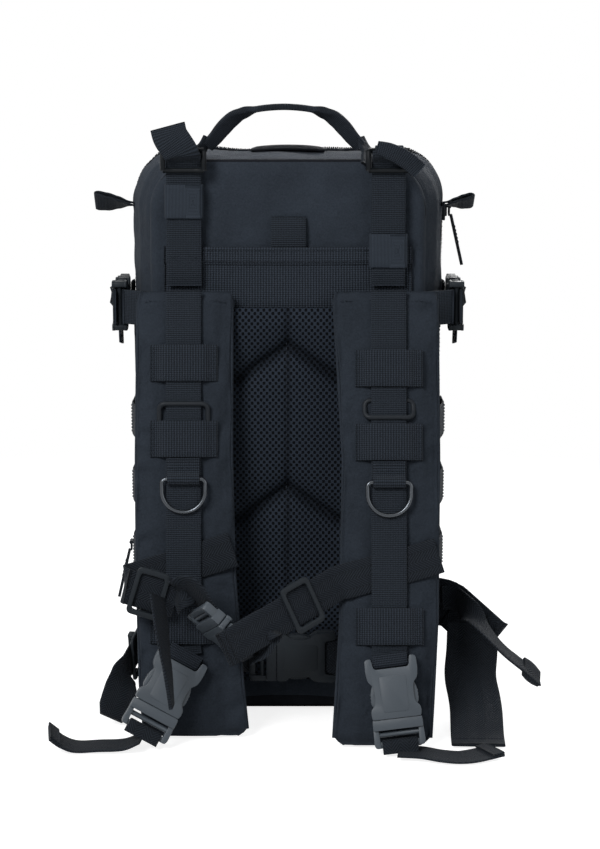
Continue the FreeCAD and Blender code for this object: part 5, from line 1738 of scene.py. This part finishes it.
def buildPocket():
    y0, y1 = 75.3, 75.3 + pocket["depth"]
    half, low, high, r = pocket["half"], pocket["low"], pocket["high"], pocket["radius"]
    shape = Shape()
    profile = [(half, y0)]
    for i in range(11):
        a = math.pi / 2 * i / 10
        profile.append((half - r + r * math.cos(a), y1 - r + r * math.sin(a)))
    for i in range(1, 30):
        profile.append((half - r - (2 * half - 2 * r) * i / 30, y1))
    for i in range(11):
        a = math.pi / 2 * (1 + i / 10)
        profile.append((-half + r + r * math.cos(a), y1 - r + r * math.sin(a)))
    profile.append((-half, y0))
    dense = resample([Vector((x, y, 0)) for x, y in profile], 3.2, False)
    rows = []
    steps = 60
    for i in range(steps + 1):
        z = low + (high - low) * i / steps
        row = []
        for k, p in enumerate(dense):
            q = Vector((p.x, p.y, z))
            n = Vector((p.x / half, (p.y - y0) / pocket["depth"], 0)).normalized()
            edge = min(1.0, (z - low) / 12, (high - z) / 10, k / 4, (len(dense) - 1 - k) / 4)
            d = (wrinkle(q, 42, 7.7) * 1.6 + wrinkle(q, 16, 3.3) * 0.6 - creases(q, 30,
                    4.4) * 0.6 - 0.5) * edge
            row.append(q + n * min(0.2, d) - n * 0.3)
        rows.append(row)
    inside = []
    for row in rows:
        line = []
        for p in row:
            n = Vector((p.x / half, (p.y - y0) / pocket["depth"], 0)).normalized()
            line.append(p - n * 1.9)
        inside.append(line)
    shape.grid(rows, None, slot=0)
    shape.grid([list(reversed(r)) for r in inside], None, slot=1)
    top, under = rows[-1], inside[-1]
    shape.grid([top, [a.lerp(b, 0.5) + zAxis * 0.8 for a, b in zip(top, under)], under], None, slot=0)
    floorRows = []
    for share in (1.0, 0.75, 0.5, 0.25, 0.0):
        floorRows.append([Vector((p.x * (0.2 + 0.8 * share) if share else p.x * 0.2, y0 + (p.y - y0) * share,
                low + (0.8 if share < 1 else 0.0))) for p in rows[0]])
    shape.grid(floorRows, None, slot=0)
    shape.grid([[p + zAxis * 1.8 for p in reversed(r)] for r in floorRows], None, slot=1)
    wall = []
    for z in (low + 0.5, (low + high) / 2, high):
        wall.append([Vector((half - 2 * half * i / 20, y0 + 0.4, z)) for i in range(21)])
    shape.grid(wall, None, slot=0)
    shape.grid([[p + yAxis * 1.4 for p in reversed(r)] for r in wall], None, slot=1)
    shape.build("front pocket", [fabric, darkFabric], "front_section", "shell_fabric", ["front_pocket"])
    trim = Shape()
    edge = [p + Vector((0, 0, 0.6)) for p in rows[-1]]
    trim.tube(edge, 1.7, 8)
    trim.tube([p + Vector((0, 0, -0.2)) for p in rows[0]], 1.5, 8)
    for side in (-1, 1):
        trim.tube([Vector((side * (half + 0.3), y0 + 0.8, z)) for z in range(int(low), int(high) + 1, 4)],
                  1.6, 8)
    trim.build("pocket binding", binding, "front_section", "shell_fabric")
    lid = Shape()
    ya, yb = 75 + 2.6, 75.3 + pocket["depth"] + 3.2
    top = []
    for i in range(15):
        v = i / 14
        row = []
        for k in range(45):
            u = -1 + 2 * k / 44
            y = ya + (yb - ya) * v
            corner = max(0.0, (abs(u) * half - (half - 16)) / 16) * max(0.0, (y - (yb - 16)) / 16)
            x = u * (half - 0.5) * (1 - 0.05 * corner)
            crown = 1.6 * (1 - u ** 4) * math.sin(math.pi * min(1.0,
                    0.15 + v * 0.85)) + wrinkle(Vector((x, y, 0)), 30, 1.1) * 0.5
            row.append(Vector((x, y, 318.3 + 2.4 + crown * (1 if v < 1 else 0.5))))
        top.append(row)
    lipRows = []
    for i in range(1, 10):
        share = i / 9
        row = []
        for k in range(45):
            u = -1 + 2 * k / 44
            x = u * (half - 0.5 - 15.5 * min(1.0, share * 3))
            z = 320.6 - 26.2 * share + 0.8 * math.sin(k * 0.7) * 0.3
            row.append(Vector((x, yb - 0.2 + 0.5 * math.sin(u * 5 + share * 3) * share * 0.6 - 0.4, z)))
        lipRows.append(row)
    outer = top + lipRows
    inner = [[p + Vector((0, -1.9 if i > 14 else -0.6, -2.1 if i <= 14 else 0.4)) for p in row] for i,
             row in enumerate(outer)]
    lid.grid(outer, None, slot=0)
    lid.grid([list(reversed(r)) for r in inner], None, slot=1)
    for k in (0, 44):
        lid.grid([[r[k] for r in outer],
                  [(a[k] + b[k]) * 0.5 + xAxis * (0.7 if k else -0.7) for a, b in zip(outer, inner)], [r[k]
                for r in inner]][::(1 if k else -1)], None)
    lid.grid([outer[-1], inner[-1]], None)
    lid.grid([inner[0], outer[0]], None)
    lid.build("pocket lid", [fabric, darkFabric], "pocket_lid", "shell_fabric", ["pocket_lid"])
    lidTrim = Shape()
    lidTrim.tube([p + Vector((0, 0.3, -0.3)) for p in outer[-1]], 1.5, 8)
    lidTrim.build("lid binding", binding, "pocket_lid", "shell_fabric")
    rows, stitching = Shape(), Shape()
    y = 75.3 + pocket["depth"] + 0.3
    wide = half - r - 2
    for i in range(4):
        z = low + 15 + i * 50 + 12.5
        spots = []
        cells = 4
        for c in range(cells):
            a, b = -wide + 2 * wide * c / cells, -wide + 2 * wide * (c + 1) / cells
            spots += [Vector((a, y + 0.75, z)), Vector((a + 4, y + 1.0, z)),
                      Vector(((a + b) / 2, y + 1.7, z)), Vector((b - 4, y + 1.0, z))]
        spots.append(Vector((wide, y + 0.75, z)))
        rows.ribbon(spots[::-1], zAxis, 25.0, 1.5, step=2.0)
        for c in range(cells + 1):
            x = -wide + 2 * wide * c / cells
            x += 1.6 if c == 0 else (-1.6 if c == cells else 0)
            stitching.stitches([Vector((x, y + 1.85, z - 11 + 22 * k / 9)) for k in range(10)], yAxis, 2.3,
                    1.8, 0.42)
    rows.ribbon([Vector((-48 + 96 * k / 12, 75.3 + 1.3, 362)) for k in range(13)][::-1], zAxis, 44.0, 1.6,
                step=3.0)
    rows.build("front webbing", strap, "front_section", "webbing", ["front_webbing"])
    stitching.build("front stitching", strap, "front_section", "webbing")


buildPocket()


# Zipper sliders and pulls
def buildSliders():
    for side, label in ((-1, "left"), (1, "right")):
        x = 116 + 0.6 + 1.2
        z = 104.0 if label == "left" else 366.0
        slider = Shape()
        contour = curve([(-4.6, -7.6, 2), (4.6, -7.6, 2), (5.2, 2.0, 2), (2.6, 6.0, 2), (-2.6, 6.0, 2),
                (-5.2, 2.0, 2)], 6)
        slider.plate(contour, -1.4, 0.8)
        slider.plate(curve([(-1.6, -4.5, 1), (1.6, -4.5, 1), (1.6, 4.5, 1), (-1.6, 4.5, 1)], 4), 0.6, 2.4)
        putDown(slider, facing(Vector((side * (x + 1.0), 25.2, z)), zAxis, xAxis * side), "slider " + label,
                label + "_slider",
                ["main_slider_" + label], lacquer, 0.5, "slider")
        pivot = Vector((side * (x + 3.2 + 0.3 + 1.4), 25.0, z + 3))
        pull = Shape()
        pull.tube([pivot + yAxis * s for s in (-3.5, -1.2, 1.2, 3.5)], 1.3, 12)
        pull.tube([pivot + Vector((0, 3.2 * math.cos(a), -3.4 + 3.4 * math.sin(a)))
                   for a in [turn * i / 20 for i in range(20)]], 0.75, 8, closed=True)
        tab = curve([(-1.9, -6.0, 1.2), (1.9, -6.0, 1.2), (2.7, -13, 3), (2.4, -40, 3), (1.6, -46, 1.5),
                     (-1.6, -46, 1.5), (-2.4, -40, 3), (-2.7, -13, 3)], 5)
        piece = Shape()
        piece.plate(tab, -1.1, 1.1)
        for i in range(5):
            piece.plate([(-2.0, -15 - 3 * i), (2.0, -15 - 3 * i), (2.0, -16.6 - 3 * i),
                         (-2.0, -16.6 - 3 * i)], 0.9, 1.5)
        lean = Matrix.Rotation(math.radians(-13.0 * side), 4, "Y")
        holder = Shape()
        holder.placed(Matrix.Translation(pivot) @ lean @ facing(Vector((0, 0, 0)), zAxis, xAxis * side),
                      piece)
        pull.placed(Matrix.Identity(4), holder)
        pull.build("pull " + label, lacquer, label + "_pull", "pull", ["main_pull_" + label], bevel=0.35,
                   smoothAngle=38)


buildSliders()


# The sleeve inside, against the back
sleeve = {"half": 72.0, "low": 2.6, "high": 270.0, "back": -69.6, "depth": 15.4, "wall": 1.9}


def buildSleeve():
    shape, trim = Shape(), Shape()
    half, low, high = sleeve["half"], sleeve["low"], sleeve["high"]
    back, front = sleeve["back"], sleeve["back"] + sleeve["depth"]
    corner = 4.0
    ring = []
    for x, y, start in ((half - corner, front - corner, 0), (-half + corner, front - corner, 90),
                        (-half + corner, back + corner, 180), (half - corner, back + corner, 270)):
        for i in range(6):
            angle = math.radians(start + 18 * i)
            ring.append((x + corner * math.cos(angle), y + corner * math.sin(angle)))
    ring = [(p.x, p.y) for p in resample([Vector((x, y, 0)) for x, y in ring + ring[:1]], 4.0, False)[:-1]]
    centre = (back + front) / 2
    rows = []
    for inside in (0.0, sleeve["wall"]):
        heights = [low + (high - low) * i / 44 for i in range(45)]
        if inside:
            heights = [max(low + inside, z) for z in reversed(heights)]
        for z in heights:
            swell = math.sin(math.pi * min(1.0, (z - low) / (high - low)))
            row = []
            for x, y in ring:
                scale = (half - inside) / half
                slack = wrinkle(Vector((x, y, z)), 34, 5.0) * 0.5 * swell if y > centre else 0.0
                row.append(Vector((x * scale,
                        centre + (y - centre) * (1 - inside / (front - centre)) - abs(slack), z)))
            rows.append(row)
    start = shape.grid(rows, None, closedAcross=True)
    count = len(ring)
    shape.cap([start + k for k in range(count)], True)
    shape.cap([start + (len(rows) - 1) * count + k for k in range(count)], False)
    shape.build("inner sleeve", darkFabric, "pack", "liner", ["inner_sleeve"])
    rim = [Vector((x, y, high + 0.2)) for x, y in ring]
    trim.tube(rim, 1.7, 10, closed=True)
    trim.stitches([Vector((-half + 6 + 132 * i / 40, front + 0.15, high - 5)) for i in range(41)], yAxis, 3.3,
                  2.3, 0.36)
    trim.build("sleeve binding", binding, "pack", "liner")


buildSleeve()


# Pieces shown as they were built
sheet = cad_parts["frame_sheet"].data.materials
sheet.clear()
sheet.append(darkFabric)


# Floor, backdrop, light and camera
stage = {"white": 1.0, "floorGlow": 0.84, "floor": 0.45, "shadowReach": 0.35, "whiteFrom": 1.0,
         "key": 54.0, "fill": 8.0, "rim": 10.0, "back": 42.0, "world": 0.22}


# 1 for camera, mirror and glass rays, 0 for the light that falls on the object.
def seenDirectly(tree):
    path = tree.nodes.new("ShaderNodeLightPath")
    total = None
    for ray in ("Is Camera Ray", "Is Glossy Ray", "Is Transmission Ray"):
        if total is None:
            total = path.outputs[ray]
            continue
        larger = tree.nodes.new("ShaderNodeMath")
        larger.operation = "MAXIMUM"
        tree.links.new(total, larger.inputs[0])
        tree.links.new(path.outputs[ray], larger.inputs[1])
        total = larger.outputs[0]
    return total


# A pale floor that takes the shadow, and reads as white where no shadow falls.
def floorFinish():
    material = bpy.data.materials.new("floor white")
    material.use_nodes = True
    tree = material.node_tree
    tree.nodes.clear()
    pale, glow = tree.nodes.new("ShaderNodeBsdfDiffuse"), tree.nodes.new("ShaderNodeEmission")
    pale.inputs["Color"].default_value = (stage["floor"],) * 3 + (1,)
    glow.inputs["Color"].default_value = (1, 1, 1, 1)
    glow.inputs["Strength"].default_value = stage["floorGlow"]
    both, mix = tree.nodes.new("ShaderNodeAddShader"), tree.nodes.new("ShaderNodeMixShader")
    out = tree.nodes.new("ShaderNodeOutputMaterial")
    tree.links.new(pale.outputs[0], both.inputs[0])
    tree.links.new(glow.outputs[0], both.inputs[1])
    tree.links.new(seenDirectly(tree), mix.inputs[0])
    tree.links.new(pale.outputs[0], mix.inputs[1])
    tree.links.new(both.outputs[0], mix.inputs[2])
    # Well away from the object the floor reads as plain white, so that it meets the backdrop without a line.
    spot, reach = tree.nodes.new("ShaderNodeTexCoord"), tree.nodes.new("ShaderNodeVectorMath")
    reach.operation = "LENGTH"
    tree.links.new(spot.outputs["Object"], reach.inputs[0])
    far = Wire(tree, reach.outputs["Value"]).ramp(stage["shadowReach"], stage["whiteFrom"])
    plain, blend = tree.nodes.new("ShaderNodeEmission"), tree.nodes.new("ShaderNodeMixShader")
    plain.inputs["Color"].default_value = (1, 1, 1, 1)
    plain.inputs["Strength"].default_value = stage["white"]
    tree.links.new((far * Wire(tree, seenDirectly(tree))).socket, blend.inputs[0])
    tree.links.new(mix.outputs[0], blend.inputs[1])
    tree.links.new(plain.outputs[0], blend.inputs[2])
    tree.links.new(blend.outputs[0], out.inputs["Surface"])
    return material


def buildStage():
    data = bpy.data.meshes.new("floor")
    data.from_pydata([(-6, -6, -0.0004), (6, -6, -0.0004), (6, 6, -0.0004), (-6, 6, -0.0004)], [],
            [(0, 1, 2, 3)])
    floor = bpy.data.objects.new("floor", data)
    data.materials.append(floorFinish())
    bpy.context.scene.collection.objects.link(floor)
    world = bpy.data.worlds.new("studio")
    bpy.context.scene.world = world
    world.use_nodes = True
    tree = world.node_tree
    tree.nodes.clear()
    seen, lit = tree.nodes.new("ShaderNodeBackground"), tree.nodes.new("ShaderNodeBackground")
    seen.inputs["Color"].default_value = (1, 1, 1, 1)
    seen.inputs["Strength"].default_value = stage["white"]
    lit.inputs["Color"].default_value = (0.9, 0.95, 1.0, 1)
    lit.inputs["Strength"].default_value = stage["world"]
    mix, out = tree.nodes.new("ShaderNodeMixShader"), tree.nodes.new("ShaderNodeOutputWorld")
    tree.links.new(seenDirectly(tree), mix.inputs[0])
    tree.links.new(lit.outputs[0], mix.inputs[1])
    tree.links.new(seen.outputs[0], mix.inputs[2])
    tree.links.new(mix.outputs[0], out.inputs["Surface"])
    for name, spot, target, size, power in (("key", (-1.0, -1.8, 1.6), (0, 0, 0.28), 1.0, stage["key"]),
                                            ("fill", (1.6, -1.4, 0.9), (0, 0, 0.2), 1.4, stage["fill"]),
                                            ("top", (0.1, 0.3, 2.0), (0, 0, 0.3), 1.2, stage["rim"]),
                                            ("back", (0.7, 2.0, 1.5), (0, 0, 0.25), 1.2, stage["back"])):
        light = bpy.data.lights.new(name, "AREA")
        light.shape, light.size, light.energy = "DISK", size, power
        lamp = bpy.data.objects.new(name, light)
        bpy.context.scene.collection.objects.link(lamp)
        lamp.location = spot
        lamp.rotation_euler = (Vector(target) - Vector(spot)).to_track_quat("-Z", "Y").to_euler()
        lamp.visible_camera = False
    camera = bpy.data.cameras.new("camera")
    eye = bpy.data.objects.new("camera", camera)
    bpy.context.scene.collection.objects.link(eye)
    eye.location = (0.0, -1.555, 0.480)
    eye.rotation_euler = (math.radians(90 - 10.05), 0, 0)
    camera.sensor_fit, camera.sensor_height, camera.lens = "VERTICAL", 24.0, 58.4
    camera.shift_x = 12 / 849
    scene = bpy.context.scene
    scene.camera = eye
    scene.render.engine = "CYCLES"
    scene.render.resolution_x, scene.render.resolution_y = 1200, 1698
    scene.view_settings.view_transform = "Standard"


buildStage()
print("scene ready")
